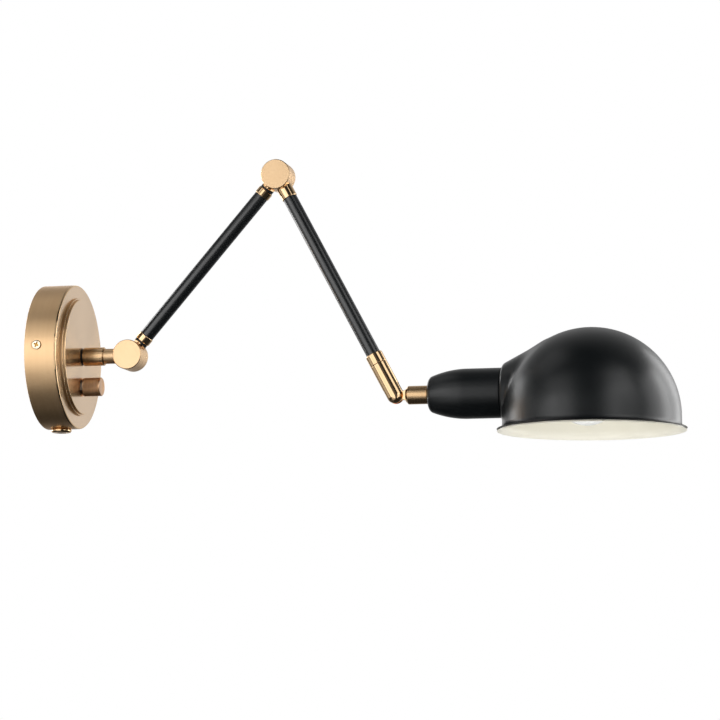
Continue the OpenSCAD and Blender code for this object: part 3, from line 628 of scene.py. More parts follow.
def knurled_knob():
    """Knob with a diamond knurl. The knurl's depth is the lesser of two triangle waves that run the
    opposite way round the knob, and it fades out before the plain end and the plain base."""
    around, pitch, deep, fade_len = 36, 1.36, 0.36, 0.35
    valley_r, nose_r, dish_r, dish = KNOB_R - 0.04, KNOB_R - 0.6, KNOB_R - 1.9, 0.12
    turns = full_turn(around * 8)
    start, end = KNOB_X + 0.9, KNOB_END - 1.3
    station = np.linspace(start, end, int((end - start) / pitch * 8))[:, None]

    def wave(direction):
        phase = (station / pitch + direction * around * turns / (2 * np.pi)) % 1
        return np.abs(2 * phase - 1)

    fade = np.clip(np.minimum(station - start, end - station) / fade_len, 0, 1)
    radius = valley_r - deep * fade * (1 - np.minimum(wave(1), wave(-1)))

    def plain(*corners):
        return turned(outline(*corners, steps=4), AT_KNOB, turns=turns)[0]

    nose = plain(
        (end, valley_r), (end + 0.05, KNOB_R), (KNOB_END - 0.6, KNOB_R, 0.25), (KNOB_END, nose_r, 0.25),
        (KNOB_END, dish_r + 0.3), (KNOB_END - dish, dish_r), (KNOB_END - dish, 0),
    )
    base = plain(
        (KNOB_X + 2.6, 0), (KNOB_X + 2.6, KNOB_R - 1.4), (KNOB_X, KNOB_R - 1.4, 0.15),
        (KNOB_X, KNOB_R - 0.3), (KNOB_X + 0.3, KNOB_R), (start, KNOB_R),
    )
    return [patch(np.concatenate([base, put(swept(station, radius, turns), AT_KNOB), nose]))]


def inlet_nose():
    """Polished bushing under the canopy. Its flange bulges by the sine of a half turn; its barrel is
    plain."""
    back, barrel_r, root_r, bulge = INLET_SEAT - 7, 5, 4.3, 2.2
    swing = np.radians(np.linspace(2, 176, 33))
    flange = np.stack([
        INLET_SEAT + (INLET_TIP - INLET_SEAT) * (1 - np.cos(swing)) / 2,
        INLET_R - bulge + bulge * np.sin(swing),
    ], -1)
    barrel = outline(
        (INLET_TIP, barrel_r), (INLET_TIP, root_r, 0.2), (back, root_r), (back, barrel_r),
        (INLET_SEAT, barrel_r), steps=5,
    )
    return [turned(np.concatenate([flange, barrel]), AT_INLET, closed=True)]


def cord_grommet():
    """Rubber sleeve in the bushing with a soft lip."""
    back, lip, sleeve_r = INLET_SEAT - 6, INLET_TIP - 0.6, 4.25
    return [turned(outline(
        (back, CORD_HOLE_R), (back, sleeve_r), (lip, sleeve_r, 0.2), (lip, CORD_HOLE_R, 0.6),
        closed=True, steps=5,
    ), AT_INLET, closed=True, columns=64)]


def half_drum(side, centre):
    """One half of a drum: a ring wall round a web, with a fine seam edge on both of its faces."""
    seam, rim, inside_r = 0.1, CAP_FROM - 0.03, DRUM_R - DRUM_WALL
    return turned(outline(
        (seam, DRUM_BORE_R), (seam, DRUM_R, SEAM_EASE), (rim, DRUM_R, SEAM_EASE), (rim, inside_r),
        (WEB_FACE, inside_r), (WEB_FACE, DRUM_BORE_R), closed=True, steps=3,
    ), place(centre, side * Y, X), columns=144, closed=True)


def drum_lid(side, centre):
    """Press-on cap with a rounded bevel and a flat face."""
    spot = place(centre, side * Y, X)
    seat, plug, bevel = CAP_FROM + 0.03, CAP_FROM - 1.2, 0.5
    plug_r, plug_bore_r, back = DRUM_R - DRUM_WALL, DRUM_R - 3.9, DRUM_HALF - 1.5
    front = outline(
        (plug, plug_bore_r), (plug, plug_r), (seat, plug_r), (seat, DRUM_R, SEAM_EASE),
        (DRUM_HALF - bevel, DRUM_R, 0.2), (DRUM_HALF, DRUM_R - bevel, 0.25), (DRUM_HALF, 0), steps=5,
    )
    hollow = outline((plug, plug_bore_r), (back, plug_bore_r, 0.3), (back, 0), steps=3)
    return [turned(front, spot, columns=144), turned(hollow, spot, columns=144)]


def saddle_bar(profile, attached, spot, bore=0.0, painted_shade_to=0.0):
    """A turned bar whose near end is hollowed to sit on a drum about the side direction.
    Its end station is the square root of the drum radius squared less the across distance squared. The
    drum radius is larger by the relief on the half that it doesn't join, so the end has a step at the
    middle, which two equal columns make square. From the drum's edge to a station it is painted black:
    painted shade."""
    half_columns = 48
    half_turn = np.linspace(-0.5 * np.pi, 0.5 * np.pi, half_columns + 1)
    turns = np.concatenate([half_turn, half_turn + np.pi])
    near_side = np.cos(turns) * attached > 0
    near_side[[0, half_columns]] = attached > 0
    near_side[[half_columns + 1, -1]] = attached < 0
    reach = np.where(near_side, DRUM_R - 0.04, DRUM_R + RELIEF)

    outer = profile[0, 1]
    radii = np.append(np.linspace(bore, outer * 0.9, 6), [outer * 0.97, outer])[:, None]
    near_end = swept(np.sqrt(reach**2 - (radii * np.sin(turns)) ** 2), radii, turns)
    body = swept(profile[:, :1], profile[:, 1:], turns)
    between = near_end[-1] + (body[0] - near_end[-1]) * np.linspace(0, 1, 5)[1:-1, None, None]
    local = np.concatenate([near_end, between, body])
    # Rows of the neck that are painted black as painted shade.
    dark = np.zeros(len(local) - 1, int)
    if painted_shade_to:
        edge = len(near_end) - 1
        dark[edge : edge + 1 + len(between) + np.sum(profile[:, 0] < painted_shade_to)] = 1
    return patch(put(local, spot), paint=np.repeat(dark, len(turns)))


def neck_and_spigot():
    """Turning neck from the post to the first drum, with the spigot inside the post."""
    face = WALL_DRUM[0] - POST_END - 0.1
    tail = WALL_DRUM[0] - box_mm("wall_drum_neck")[0][0]
    bore_r, bore_end = 2.4, face - 2
    profile = outline(
        (19, NECK_R), (face, NECK_R, 0.3), (face, SPIGOT_R), (tail, SPIGOT_R), (tail, bore_r),
        (bore_end, bore_r), (bore_end, 0), steps=4,
    )
    return [half_drum(-1, WALL_DRUM), saddle_bar(profile, -1, AT_NECK)]


def arm_collar(attached, spot, neck_to=0.0):
    """Collar with a polished rounded mouth, from its drum to the tube. The lower arm's collars start
    with a narrower neck painted black as painted shade, and a small step leads from it to the collar."""
    start = [(15, COLLAR_R)]
    if neck_to:
        neck_r = COLLAR_R - 0.8
        start = [
            (neck_to - 0.4, neck_r), (neck_to, neck_r), (neck_to + 0.05, COLLAR_R - 0.25),
            (neck_to + 0.3, COLLAR_R), (neck_to + 0.5, COLLAR_R),
        ]
    plug_r, plug_to = 4.9, COLLAR_END + 8
    profile = outline(
        *start, (COLLAR_END, COLLAR_R, 0.45), (COLLAR_END, plug_r), (plug_to, plug_r, 0.4),
        (plug_to, COLLAR_BORE_R), (12.5, COLLAR_BORE_R), steps=4,
    )
    return [saddle_bar(profile, attached, spot, bore=COLLAR_BORE_R, painted_shade_to=neck_to)]


def arm_tube(start, end, spot):
    """Black tube with eased ends and an open bore."""
    bore_r = TUBE_R - 1
    return [turned(outline(
        (start, bore_r), (start, TUBE_R, 0.15), (end, TUBE_R, 0.15), (end, bore_r), closed=True, steps=3,
    ), spot, closed=True)]


def swivel_collar():
    """Collar under the upper tube, with a rounded top edge and a fine edge at the seam below."""
    top, low, socket_r = -CLEVIS_TOP - HEAD_COLLAR_LEN, -CLEVIS_TOP, TUBE_R + 0.02
    socket_to, bore_r = top + 4, 4.1
    return [turned(outline(
        (top, socket_r, 0.1), (top, CLEVIS_R, 0.5), (low, CLEVIS_R, 0.28), (low, bore_r),
        (socket_to, bore_r), (socket_to, socket_r), closed=True, steps=5,
    ), ON_CLEVIS, closed=True, columns=128)]


def rounded_bar_slice(side_offset):
    """Outline of a cheek at one side offset: a straight run from the slot's bottom to the tilt axis,
    then half an ellipse round the end. Its half height is the root of the clevis radius squared less
    the offset squared, and its reach past the axis is the end's reach, less what a quarter round takes
    off over the last stretch of offsets."""
    high = math.sqrt(max(CLEVIS_R**2 - side_offset**2, 0.0))
    past = max(abs(side_offset) - CLEVIS_R + END_ROUND, 0.0)
    reach = END_REACH - END_ROUND + math.sqrt(max(END_ROUND**2 - past**2, 0.0))
    run = np.linspace(-FORK_DEPTH, 0, 10)[:-1]
    swing = np.radians(np.linspace(90, -90, 49))
    along = np.concatenate([run, reach * np.cos(swing), run[::-1]])
    across = np.concatenate([np.full(len(run), high), high * np.sin(swing), np.full(len(run), -high)])
    return np.stack([along, np.full(len(along), side_offset), across], -1)


def cheek(side):
    """One cheek of the fork: a stack of slices from the slot to the rounded flank, closed on the slot's
    side at the middle of its flat. Steps between slices shrink as the flank turns in."""
    offsets = side * (FORK_HALF + (CLEVIS_R - FORK_HALF) * np.sin(np.linspace(0, np.pi / 2, 26)))
    slices = np.array([rounded_bar_slice(offset) for offset in offsets])
    middle = slices[:1] * [0, 1, 0] - [FORK_DEPTH / 2, 0, 0]
    return patch(put(np.concatenate([middle, slices]), ON_CLEVIS))


def clevis_fork():
    """Bar with a rounded end and a through slot: a turned shank and two cheeks."""
    foot = -CLEVIS_LEN - 5
    shank = turned(outline(
        (-FORK_DEPTH, 0), (-FORK_DEPTH, CLEVIS_R), (-CLEVIS_LEN, CLEVIS_R, 0.28),
        (-CLEVIS_LEN, SPIGOT_R), (foot, SPIGOT_R), (foot, 0), steps=5,
    ), ON_CLEVIS, columns=128)
    return [shank, cheek(-1), cheek(1)]


def tilt_screw_head():
    """Slotted screw in the rear cheek. The head's height drops at its edge and at the slot."""
    seat, head_r, head_high, edge_drop = CLEVIS_R - 2.2, 3.3, 1.4, 0.3
    slot_half, slot_deep = 0.42, 0.7
    turns = full_turn(96)
    share = np.concatenate([np.linspace(1, 0.94, 4), np.linspace(0.9, 0, 24)])[:, None]
    u, v = head_r * share * np.cos(turns), head_r * share * np.sin(turns)
    drop = edge_drop * np.clip((share - 0.9) / 0.1, 0, 1) ** 2
    height = head_high - drop - slot_deep * np.clip((slot_half - np.abs(u)) / 0.08, 0, 1)
    start, end, shank_r = 2.3 - CLEVIS_R, seat + 0.2, 2
    shank = outline((start, 0), (start, shank_r), (end, shank_r), (end, 0))
    head = headed(height, u, v, place(HEAD + seat * Y, Y, X))
    return [head, turned(shank, ACROSS_HEAD, columns=48)]


def tongue():
    """Flat tongue: an eye round the tilt screw and a bar that flares into the stem's shoulder.
    The outline is a circle joined to two parallel edges. It is carried across the thickness with a small
    ease at both faces, and each face runs in to the hole for the screw."""
    eye, hole_r, flare = TONGUE_HIGH + 1, 2.15, 1.6
    middle = np.array([2.0, 0.0])
    join = math.acos(TONGUE_HIGH / eye)
    swing = np.linspace(0.5 * np.pi - join, 1.5 * np.pi + join, 49)
    ring = np.stack([eye * np.cos(swing), eye * np.sin(swing)], -1)
    start, run = eye * math.sin(join), np.linspace(0, 1, 9)[1:]
    along = start + (STEM_FROM + 1.2 - start) * run
    high = TONGUE_HIGH + flare * np.clip((run - 0.45) / 0.55, 0, 1) ** 2.2
    lower = np.stack([along, -high], -1)
    upper = np.stack([along, high], -1)[::-1]
    end = lower[-1] + (upper[0] - lower[-1]) * np.linspace(0, 1, 12)[1:-1, None]
    edge = np.concatenate([ring, lower, end, upper])
    hole = hole_r * edge / np.linalg.norm(edge, axis=1, keepdims=True)
    rows = []
    face = [(1, 0), (1, 0.9), (1, 0.93), (0.97, 0.975), (0.88, 1)]
    for thick, size in [(-thick, size) for thick, size in face] + face[::-1]:
        spots = middle + (edge - middle) * size if size else hole
        rows.append(np.stack([spots[:, 0], np.full(len(spots), thick * TONGUE_HALF), spots[:, 1]], -1))
    return patch(put(np.array(rows), ON_HEAD), wrap_rows=True, paint=1)


def tongue_and_stem():
    """Tongue and turned stem in one piece, with a bright thin ring before the cover."""
    columns, low_r = 128, STEM_R - 0.2
    stem = outline(
        (STEM_FROM, 0), (STEM_FROM, STEM_R - 2, 0.25), (STEM_FROM + 2, STEM_R, 0.4),
        (COVER_FACE - 1.8, STEM_R), (COVER_FACE - 1.6, STEM_R), (COVER_FACE - 1.45, low_r),
        (COVER_FACE - 1.2, low_r), (COVER_FACE - 1.1, STEM_R - 0.05),
        (COVER_FACE, STEM_R - 0.35, 0.15), (COVER_FACE, 0), steps=5,
    )
    bright = (stem[:-1, 0] > COVER_FACE - 1.3) | (stem[:-1, 0] < STEM_FROM + 1.9)
    return [tongue(), turned(stem, ON_HEAD, columns, paint=np.repeat(bright.astype(int), columns))]


def cover_profile(inset):
    """Half outline of the lampholder cover: a rounded small end, then a barrel. The barrel's radius falls
    short of the open end's by the square of the way left to where it turns straight. An inset moves each
    point along its normal."""
    corner_r, corner_end, swell_to, curve = 5.0, 110.9, 31.5, 0.00668
    corner_cos, corner_sin = math.cos(math.radians(corner_end)), math.sin(math.radians(corner_end))
    station = np.linspace(corner_r * (1 + corner_cos), COVER_TO - COVER_FACE - 8, 44)
    left = np.maximum(swell_to - station, 0)
    slope = 2 * curve * left
    long = np.sqrt(1 + slope**2)
    radius = COVER_R - curve * left**2
    barrel = np.stack([COVER_FACE + station + inset * slope / long, radius - inset / long], -1)
    middle = np.array([COVER_FACE + corner_r, radius[0] - corner_r * corner_sin])
    return np.concatenate([arc_rows(middle, corner_r - inset, 180, corner_end, 12)[:-1], barrel])


def lampholder_cover():
    """Thin spun cover with a softly rounded open edge."""
    hole_r, inside_r, straight = 5.15, COVER_R - SHEET, COVER_TO - 8
    mouth = outline(
        (straight, COVER_R), (COVER_TO, COVER_R, 0.55), (COVER_TO, inside_r, 0.3), (straight, inside_r)
    )
    profile = np.concatenate([
        [[COVER_FACE, hole_r]], cover_profile(0), mouth, cover_profile(SHEET)[::-1],
        [[COVER_FACE + SHEET, hole_r]],
    ])
    return [turned(profile, ON_HEAD, closed=True, columns=160)]


def lampholder():
    """Insulating lampholder: a barrel with a flange, a coarse thread in front of the shade wall, and the
    open mouth for the bulb. The thread's depth is a clipped triangle wave that climbs one pitch a turn."""
    flange_r, root_r, mouth_r, pitch, deep = COVER_R - 1.4, HOLDER_R - 1.0, 14, 1.6, 0.55
    flange, seat, behind = SHADE_X - 2, SHADE_X - 0.05, SHADE_X + 1
    turns = full_turn(120)
    barrel = outline(
        (HOLDER_FROM, 0), (HOLDER_FROM, HOLDER_R, 0.6), (flange, HOLDER_R), (flange, flange_r, 0.2),
        (seat, flange_r, 0.2), (seat, root_r), (behind, root_r), (behind, 0), steps=4,
    )
    thread_to = HOLDER_TO - 0.6
    station = np.linspace(SHADE_X, thread_to, 60)[:, None]
    phase = (station / pitch - turns / (2 * np.pi)) % 1
    fade = np.clip((thread_to - station) / 0.6, 0, 1)
    wave = np.clip(1.6 - 3.2 * np.abs(phase - 0.5), 0, 1)
    radius = HOLDER_R - 0.05 - deep * fade * wave - 0.3 * (1 - fade)
    mouth = outline(
        (HOLDER_TO, HOLDER_R - 0.9, 0.2), (HOLDER_TO, mouth_r, 0.4), (BULB_CAP_FROM - 2, mouth_r),
        (BULB_CAP_FROM - 2, 0), steps=4,
    )
    rows = [
        turned(np.array([[SHADE_X, 0]]), ON_HEAD, turns=turns)[0],
        put(swept(station, radius, turns), ON_HEAD),
        turned(mouth, ON_HEAD, turns=turns)[0],
    ]
    return [turned(barrel, ON_HEAD, turns=turns), patch(np.concatenate(rows))]


def clamp_ring():
    """Ring that clamps the shade: a scalloped rim for the fingers and a plain bore. The scallops are a
    clipped cosine of the turn."""
    start, scallops, deep = SHADE_X + SHEET, 18, 0.45
    turns = full_turn(288)
    shape = outline(
        (start, HOLDER_R), (start, RING_R, 0.3), (RING_TO, RING_R, 0.8), (RING_TO, HOLDER_R, 0.4),
        closed=True, steps=4,
    )
    station, radius = shape[:, :1], shape[:, 1:]
    notch = deep * np.clip(np.cos(scallops * turns) * 2.2 - 1.2, 0, 1) * (radius > RING_R - 0.6)
    return [patch(put(swept(station, radius - notch, turns), ON_HEAD), wrap_rows=True)]


def smooth_lesser(a, b, blend):
    """The lesser of two lengths, rounded over where they are within the blend of each other."""
    share = np.clip(0.5 + 0.5 * (b - a) / blend, 0, 1)
    return b + (a - b) * share - blend * share * (1 - share)


def dome_reach(swing, rise, inset):
    """Distance from the dome centre to the shade wall along each direction: the greater of the dome and
    the side entry. The dome is a sphere above its centre and an upright wall below. The entry is the
    lesser of its flat end and its cone, whose distance solves the quadratic of a ray and a cone. Past
    a station inside the dome it falls off with the square of the way past."""
    dx, dy, dz = np.cos(rise) * np.cos(swing), np.cos(rise) * np.sin(swing), np.sin(rise) + 0 * swing
    dome = (DOME_R - inset) / np.where(rise < 0, np.cos(rise), 1)
    far, end_blend, dome_blend, bulge_from, bulge = 400, 3.4, 3.0, 34, 0.05
    opening = ENTRY_R - ENTRY_ROUND * ENTRY_SLOPE - inset * math.sqrt(1 + ENTRY_SLOPE**2)
    at_centre = opening + ENTRY_SLOPE * DOME_X
    square = dy**2 + dz**2 - (ENTRY_SLOPE * dx) ** 2
    linear = -2 * DOME_DROP * dz - 2 * ENTRY_SLOPE * dx * at_centre
    constant = DOME_DROP**2 - at_centre**2
    root = np.sqrt(np.maximum(linear**2 - 4 * square * constant, 0))
    cone = np.clip(-2 * constant / np.maximum(linear + root, 1e-6), 0, far)
    end = np.where(dx < -0.2, (DOME_X - inset) / np.maximum(-dx, 0.2), far)
    entry = smooth_lesser(end, cone, end_blend)
    past = np.maximum(DOME_X + entry * dx - bulge_from, 0)
    return -smooth_lesser(-dome, bulge * past**2 - entry, dome_blend)


def shade_shell():
    """Spun half-dome shade with a conical side entry, a flared rim and a round bead. Outside and inside
    are grids of swing round the upright axis and rise above the dome centre. The rim is turned: a flare
    whose radius grows by one less the cosine of its swing, then the bead's arc."""
    near_entry = np.radians(np.arange(-30, 30, 0.6))
    elsewhere = np.radians(np.arange(30, 330, 2.0))
    turns = np.pi + np.concatenate([near_entry, elsewhere])
    flare_start = DOME_DROP + 6.4 - RIM_DROP
    crown, lowest = np.radians(52), math.atan(flare_start / DOME_R)
    rise = np.concatenate([np.linspace(np.pi / 2, crown, 26)[:-1], np.linspace(crown, lowest, 94)])[:, None]

    def wall(inset):
        reach = dome_reach(turns, rise, inset)
        return put(swept(reach * np.sin(rise), reach * np.cos(rise), turns), UNDER_DOME)

    bead = np.array([DOME_DROP - RIM_DROP + BEAD_R, RIM_R - BEAD_R])
    swing = np.radians(np.linspace(0, 78, 9)[1:])[:, None]

    def flare(radius, offset):
        station = flare_start + (bead[0] + offset - flare_start) * np.sin(swing)
        return np.concatenate([station, radius + (bead[1] - radius) * (1 - np.cos(swing))], axis=1)

    outside, inside = flare(DOME_R, 0.55), flare(DOME_R - SHEET, -0.75)
    curl = arc_rows(bead, BEAD_R, 50, -215, 25)
    rim = turned(np.concatenate([outside, curl, inside[::-1]]), UNDER_DOME, turns=turns)[0]
    split = len(outside) + len(curl) // 2
    return [
        patch(np.concatenate([wall(0), rim[: split + 1]]), paint=0),
        patch(np.concatenate([rim[split:], wall(SHEET)[::-1]]), paint=1),
    ]


def bulb():
    """Round opal bulb: a neck that swells by a parabola into the ball, and a narrower foot in the cap."""
    start, middle = BULB_CAP_FROM + BULB_CAP_LEN, BULB_END - BULB_R
    neck_r, foot_r, join = 13.6, 12.3, 55
    join_x = middle - BULB_R * math.sin(math.radians(join))
    join_r = BULB_R * math.cos(math.radians(join))
    share = np.linspace(0, 1, 20)[:, None]
    neck = np.concatenate([
        start + (join_x - start) * share, neck_r + (join_r - neck_r) * (0.35 * share + 0.65 * share**2)
    ], axis=1)
    ball = arc_rows(np.array([middle, 0.0]), BULB_R, 90 + join, 0, 48)[1:]
    foot = np.array([[start - 6, 0], [start - 6, foot_r], [start - 0.01, foot_r]])
    return [turned(np.concatenate([foot, neck, ball]), ON_HEAD, columns=128)]


def dress(*rows):
    """Makes pieces from rows of name, shape, body, slot, replaced node and finishes. The slot is not used.
    """
    for name, patches, body, slot, node, *finishes in rows:
        piece(name, patches, body, [node], finishes)


def dress_metal():
    """Makes the brass pieces."""
    plate = turned_brass("brass_canopy_turned", AT_WALL, rough=(0.34, 0.46), groove=0.01)
    face = turned_brass("brass_face_polished", AT_WALL, rough=(0.2, 0.26), groove=0.0003, polished=True)
    # Black for the post's foot groove and the lower collars' necks: painted shade in the gaps between
    # parts.
    dark = plain_coat("painted_shade_black", (0.004, 0.004, 0.004), (0.01, 0.009, 0.008), (0.4, 0.55))
    post = turned_brass("brass_post_turned", AT_WALL, rough=(0.2, 0.28), groove=0.002)
    # Darker, redder brass on the knob: painted reflection of the brass around it.
    knob_reflection_tones = ((0.72, 0.43, 0.24), (0.86, 0.56, 0.34))
    knob = turned_brass("brass_knob", AT_KNOB, rough=(0.24, 0.34), groove=0.002, tones=knob_reflection_tones)
    drum = brushed_brass("brass_drum_brushed")
    shine = polished_brass("brass_polished")
    # Near-white brass on the screw heads: a painted highlight.
    screw = polished_brass("brass_screw_painted_highlight", tones=((0.97, 0.84, 0.6), (1.0, 0.9, 0.7)))
    # Darker amber brass in the screw recess and round the head's rim: painted shade.
    recess_shade_tones = ((0.6, 0.33, 0.06), (0.75, 0.42, 0.1))
    recess_shade = polished_brass("brass_recess_painted_shade", rough=(0.4, 0.5), tones=recess_shade_tones)
    stem = turned_brass("brass_stem_turned", ON_HEAD, rough=(0.24, 0.32), groove=0.003)
    screws = side_screw(-1) + side_screw(1)
    brushed, polished, neck = "brushed_brass", "polished_brass", DARK_NECK_TO
    dress(
        ("canopy_cup", canopy_cup(), "base", brushed, "canopy", plate, face, shine),
        ("face_disc", face_disc(), "base", brushed, "face_plate", plate, face, shine),
        ("side_screw_pair", screws, "base", polished, "side_screws", screw, recess_shade),
        ("fixed_post", fixed_post(), "base", brushed, "base_post", post, dark),
        ("inlet_nose", inlet_nose(), "base", polished, "inlet_bushing", shine),
        ("knurled_knob", knurled_knob(), "knob", "knurled_brass", "knob", knob),
        ("neck_and_front_half", neck_and_spigot(), "neck", brushed, "wall_drum_neck", drum),
    )
    dress_half_drum("wall_drum_front", WALL_DRUM, -1, "neck", drum)
    dress_half_drum("wall_drum_rear", WALL_DRUM, 1, "lower_arm", drum)
    for end, spot in (("wall", ON_LOWER), ("elbow", ON_LOWER_END)):
        collar, node = arm_collar(1, spot, neck), f"lower_arm_{end}_collar"
        dress((f"lower_collar_{end}", collar, "lower_arm", polished, node, shine, dark))
    dress_half_drum("elbow_drum_rear", ELBOW, 1, "lower_arm", drum)
    dress_half_drum("elbow_drum_front", ELBOW, -1, "upper_arm", drum)
    collar = arm_collar(-1, ON_UPPER)
    dress(
        ("upper_collar_elbow", collar, "upper_arm", polished, "upper_arm_elbow_collar", shine),
        ("swivel_collar", swivel_collar(), "upper_arm", polished, "head_collar", shine),
        ("clevis_fork", clevis_fork(), "clevis", polished, "head_clevis", shine),
        ("tilt_screw_head", tilt_screw_head(), "clevis", polished, "tilt_screw", shine),
        ("tongue_and_stem", tongue_and_stem(), "head", brushed, "head_stem", stem, shine),
    )
    for node in LAMPHOLDER_METAL:
        frame["nodes"][node].data.materials[0] = shine


def dress_half_drum(node, centre, side, body, brass):
    """Makes one half of a drum and its lid. The first drum's front half comes with the neck."""
    if node != "wall_drum_front":
        dress((f"{node}_half", [half_drum(side, centre)], body, "brushed_brass", node, brass))
    dress((f"{node}_lid", drum_lid(side, centre), body, "brushed_brass", f"{node}_cap", brass))


def dress_black_and_pale():
    """Makes the black, cream, rubber and glass pieces."""
    black = satin_black("black_satin_tube", (0.25, 0.31), 1.85, peel=0.0002)
    shade_black = satin_black("black_satin_shade", (0.31, 0.37), 1.6)
    inside = cream_enamel("cream_inside")
    rubber = plain_coat("black_rubber", (0.012, 0.012, 0.012), (0.022, 0.021, 0.02), (0.6, 0.8))
    moulded = plain_coat("black_moulded", (0.014, 0.014, 0.015), (0.026, 0.026, 0.028), (0.38, 0.5))
    opal = opal_glass("opal")
    lower_tube = arm_tube(COLLAR_END, LOWER_LEN - COLLAR_END, ON_LOWER)
    upper_tube = arm_tube(COLLAR_END, UPPER_LEN - CLEVIS_TOP - HEAD_COLLAR_LEN + 4, ON_UPPER)
    satin = "satin_black"
    dress(
        ("cord_grommet", cord_grommet(), "base", "black_rubber", "inlet_grommet", rubber),
        ("lower_tube", lower_tube, "lower_arm", satin, "lower_arm_tube", black),
        ("upper_tube", upper_tube, "upper_arm", satin, "upper_arm_tube", black),
        ("lampholder_cover", lampholder_cover(), "head", satin, "socket_cover", shade_black),
        ("lampholder", lampholder(), "head", "black_plastic", "lampholder_body", moulded),
        ("clamp_ring", clamp_ring(), "head", satin, "shade_ring", shade_black),
        ("shade_shell", shade_shell(), "head", satin, "shade", shade_black, inside),
        ("opal_bulb", bulb(), "head", "opal_glass", "bulb_glass", opal),
    )
    frame["nodes"]["dimmer_body"].data.materials[0] = moulded


def dress_hidden_metal():
    """Gives the carried-over small parts their finishes."""
    zinc = plain_coat("zinc_plate", (0.52, 0.53, 0.54), (0.68, 0.69, 0.69), (0.28, 0.42), metallic=1.0)
    green = plain_coat("green_screw_coat", (0.03, 0.16, 0.06), (0.05, 0.24, 0.09), (0.35, 0.45))
    shaft = plain_coat("black_shaft", (0.006, 0.006, 0.006), (0.012, 0.011, 0.01), (0.4, 0.55))
    white = plain_coat("white_moulded", (0.72, 0.71, 0.66), (0.8, 0.79, 0.74), (0.35, 0.45))
    for name, node in frame["nodes"].items():
        if not node.hide_render and name not in (*LAMPHOLDER_METAL, "dimmer_body"):
            own = {"ground_screw": green, "terminal_block": white, "dimmer_shaft": shaft}
            node.data.materials[0] = own.get(name, zinc)


def studio_world():
    """White to the camera. To the object it is a dark room with a pale backdrop behind it, a product of
    soft steps in the direction's depth and height, and two faint soft boxes, each a product of soft
    steps in its azimuth and height."""
    world = bpy.data.worlds.new("studio")
    bpy.context.scene.world = world
    graph = Graph(world)
    graph.nodes.clear()

    def step(value, start, end):
        return graph.span(value, start, end, 0.0, 1.0, interpolation_type="SMOOTHSTEP")

    parts = graph.node("SeparateXYZ", {"Vector": graph.node("TexCoord").outputs["Generated"]})
    right, depth, up = (parts.outputs[axis] for axis in "XYZ")
    turn = graph.math("ARCTAN2", right, graph.math("MULTIPLY", depth, -1.0))
    azimuth = graph.math("MULTIPLY", turn, 180 / math.pi)
    height = graph.math("MULTIPLY", graph.math("ARCSINE", up), 180 / math.pi)

    def soft_box(left, right, low, high, strength, soft=8.0):
        """Strength between two azimuths and two heights in degrees, fading at its edges."""
        level = step(azimuth, left - soft, left + soft)
        for edge in (
            step(azimuth, right + soft, right - soft),
            step(height, low - soft, low + soft),
            step(height, high + soft, high - soft),
        ):
            level = graph.math("MULTIPLY", level, edge)
        return graph.math("MULTIPLY", level, strength)

    backdrop = graph.math("MULTIPLY", step(depth, -0.15, 1.1), step(height, -50.0, 0.0))
    level = graph.math("MULTIPLY_ADD", backdrop, 0.52, 0.022)
    level = graph.math("ADD", level, soft_box(-14.0, 20.0, -25.0, 20.0, 0.12))
    level = graph.math("ADD", level, soft_box(140.0, 176.0, -20.0, 30.0, 0.15))
    room = graph.node("Background", {"Color": (1, 1, 1, 1), "Strength": level})
    white = graph.node("Background", {"Color": (1, 1, 1, 1), "Strength": 1.0})
    ray = graph.node("LightPath").outputs["Is Camera Ray"]
    mixed = graph.node("MixShader", {0: ray, 1: room.outputs[0], 2: white.outputs[0]})
    graph.node("OutputWorld", {"Surface": mixed.outputs[0]})


def pale_floor():
    """Plain pale floor well under the light, in metres."""
    half, level = 4.0, -0.62
    corners = [(x * half, y * half, level) for x, y in ((-1, -1), (1, -1), (1, 1), (-1, 1))]
    mesh = bpy.data.meshes.new("floor")
    mesh.from_pydata(corners, [], [(0, 1, 2, 3)])
    floor = bpy.data.objects.new("floor", mesh)
    bpy.context.scene.collection.objects.link(floor)
    paint = plain_coat("pale_floor", (0.86, 0.86, 0.85), (0.9, 0.9, 0.89), (0.7, 0.8), scale=8.0)
    mesh.materials.append(paint)
    floor.visible_glossy = False


def area_lamp(name, spot, aim, width, height, radiance, in_gloss=True):
    """Soft box in metres at a spot, facing its aim. Its radiance stays the same at any size."""
    lamp = bpy.data.lights.new(name, "AREA")
    lamp.shape = "RECTANGLE"
    lamp.size, lamp.size_y = width, height
    lamp.energy = radiance * math.pi * width * height
    made = bpy.data.objects.new(name, lamp)
    made.location = spot
    made.rotation_mode = "QUATERNION"
    made.rotation_quaternion = (Vector(aim) - Vector(spot)).to_track_quat("-Z", "Y")
    made.visible_camera = False
    made.visible_glossy = in_gloss
    bpy.context.scene.collection.objects.link(made)


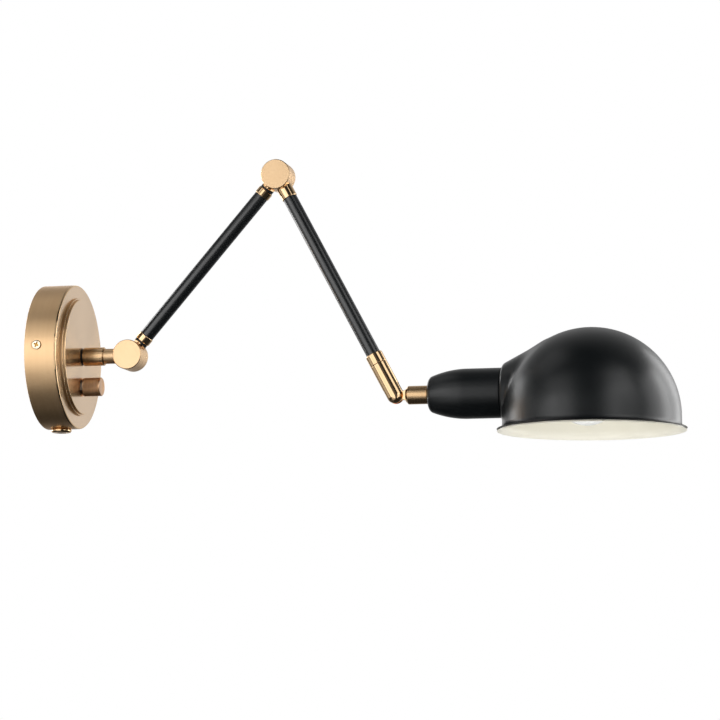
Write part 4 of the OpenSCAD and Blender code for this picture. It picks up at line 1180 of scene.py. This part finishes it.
def studio_lamps():
    """Soft boxes that show in the metal and the coats, and two fills that don't. Each row has a name,
    a spot, an aim, a width, a height and a radiance."""
    for row in (
        ("left_box", (-0.07, -1.0, 0.0), (-0.07, 0.0, 0.0), 0.5, 0.92, 1.3),
        ("left_box_high", (-0.44, -1.0, 0.25), (-0.44, 0.0, 0.25), 0.24, 0.5, 2.2),
        ("left_box_low", (-0.44, -1.0, -0.23), (-0.44, 0.0, -0.23), 0.24, 0.46, 1.1),
        ("left_wing", (-0.92, -1.0, 0.02), (-0.92, 0.0, 0.02), 0.76, 0.96, 1.4),
        ("left_side", (-1.2, -0.2, 0.0), (0.0, 0.0, 0.0), 1.0, 1.1, 0.45),
        ("upper_left", (-0.35, -0.85, 0.75), (-0.1, 0.0, 0.0), 0.9, 0.45, 0.7),
        ("lower_left", (-0.35, -0.85, -0.7), (-0.1, 0.0, 0.0), 0.9, 0.4, 0.5),
        ("floor_glow", (-0.2, -0.3, -0.58), (-0.2, -0.3, 0.0), 0.5, 0.7, 0.07),
        ("top_left", (-0.35, -0.1, 1.0), (0.0, 0.0, 0.0), 0.7, 0.7, 0.42),
        ("left_rear", (-0.6, 1.1, 0.3), (0.0, 0.0, 0.0), 1.0, 0.8, 0.95),
        ("left_rear_strip", (-0.6, 0.3, 0.15), (0.37, 0.0, -0.02), 0.34, 0.7, 5.2),
        ("right_strip", (1.05, -0.9, 0.1), (0.4, 0.0, 0.0), 0.3, 0.9, 1.1),
        ("right_low", (1.25, -0.6, 0.15), (0.4, 0.0, 0.0), 0.6, 0.6, 0.85),
        ("right_high", (1.2, -0.6, 0.7), (0.4, 0.0, 0.0), 0.6, 0.6, 1.2),
        ("right_side", (1.4, 0.2, 0.15), (0.4, 0.0, 0.0), 0.7, 0.9, 1.4),
        ("rear_strip_near", (1.05, 0.32, 0.08), (0.46, 0.0, 0.0), 0.2, 0.7, 3.8),
        ("rear_strip_far", (0.85, 0.55, 0.1), (0.46, 0.0, 0.0), 0.25, 0.75, 2.7),
    ):
        area_lamp(*row)
    area_lamp("low_fill", (0.7, -1.0, -0.5), (0.45, 0.0, -0.08), 1.4, 0.5, 3.3, in_gloss=False)
    area_lamp("top_fill", (0.1, -0.5, 1.95), (0.27, 0.0, 0.0), 2.6, 2.6, 1.0, in_gloss=False)


def photograph_camera():
    """Camera at the photograph's spot: 13 degrees round from square on, looking up by 7 degrees."""
    data = bpy.data.cameras.new("camera")
    data.lens, data.sensor_width = 144, 36
    data.clip_start, data.clip_end = 0.1, 20
    camera = bpy.data.objects.new("camera", data)
    side, rise = math.radians(12.95), math.radians(-7.25)
    back = Vector((math.sin(side) * math.cos(rise), -math.cos(side) * math.cos(rise), math.sin(rise)))
    camera.location = (0.7888, -2.2677, -0.3052)
    camera.rotation_mode = "QUATERNION"
    camera.rotation_quaternion = back.to_track_quat("Z", "Y")
    bpy.context.scene.collection.objects.link(camera)
    bpy.context.scene.camera = camera


bpy.context.scene.view_settings.view_transform = "Standard"
photograph_camera()
dress_metal()
dress_black_and_pale()
dress_hidden_metal()
studio_world()
pale_floor()
studio_lamps()
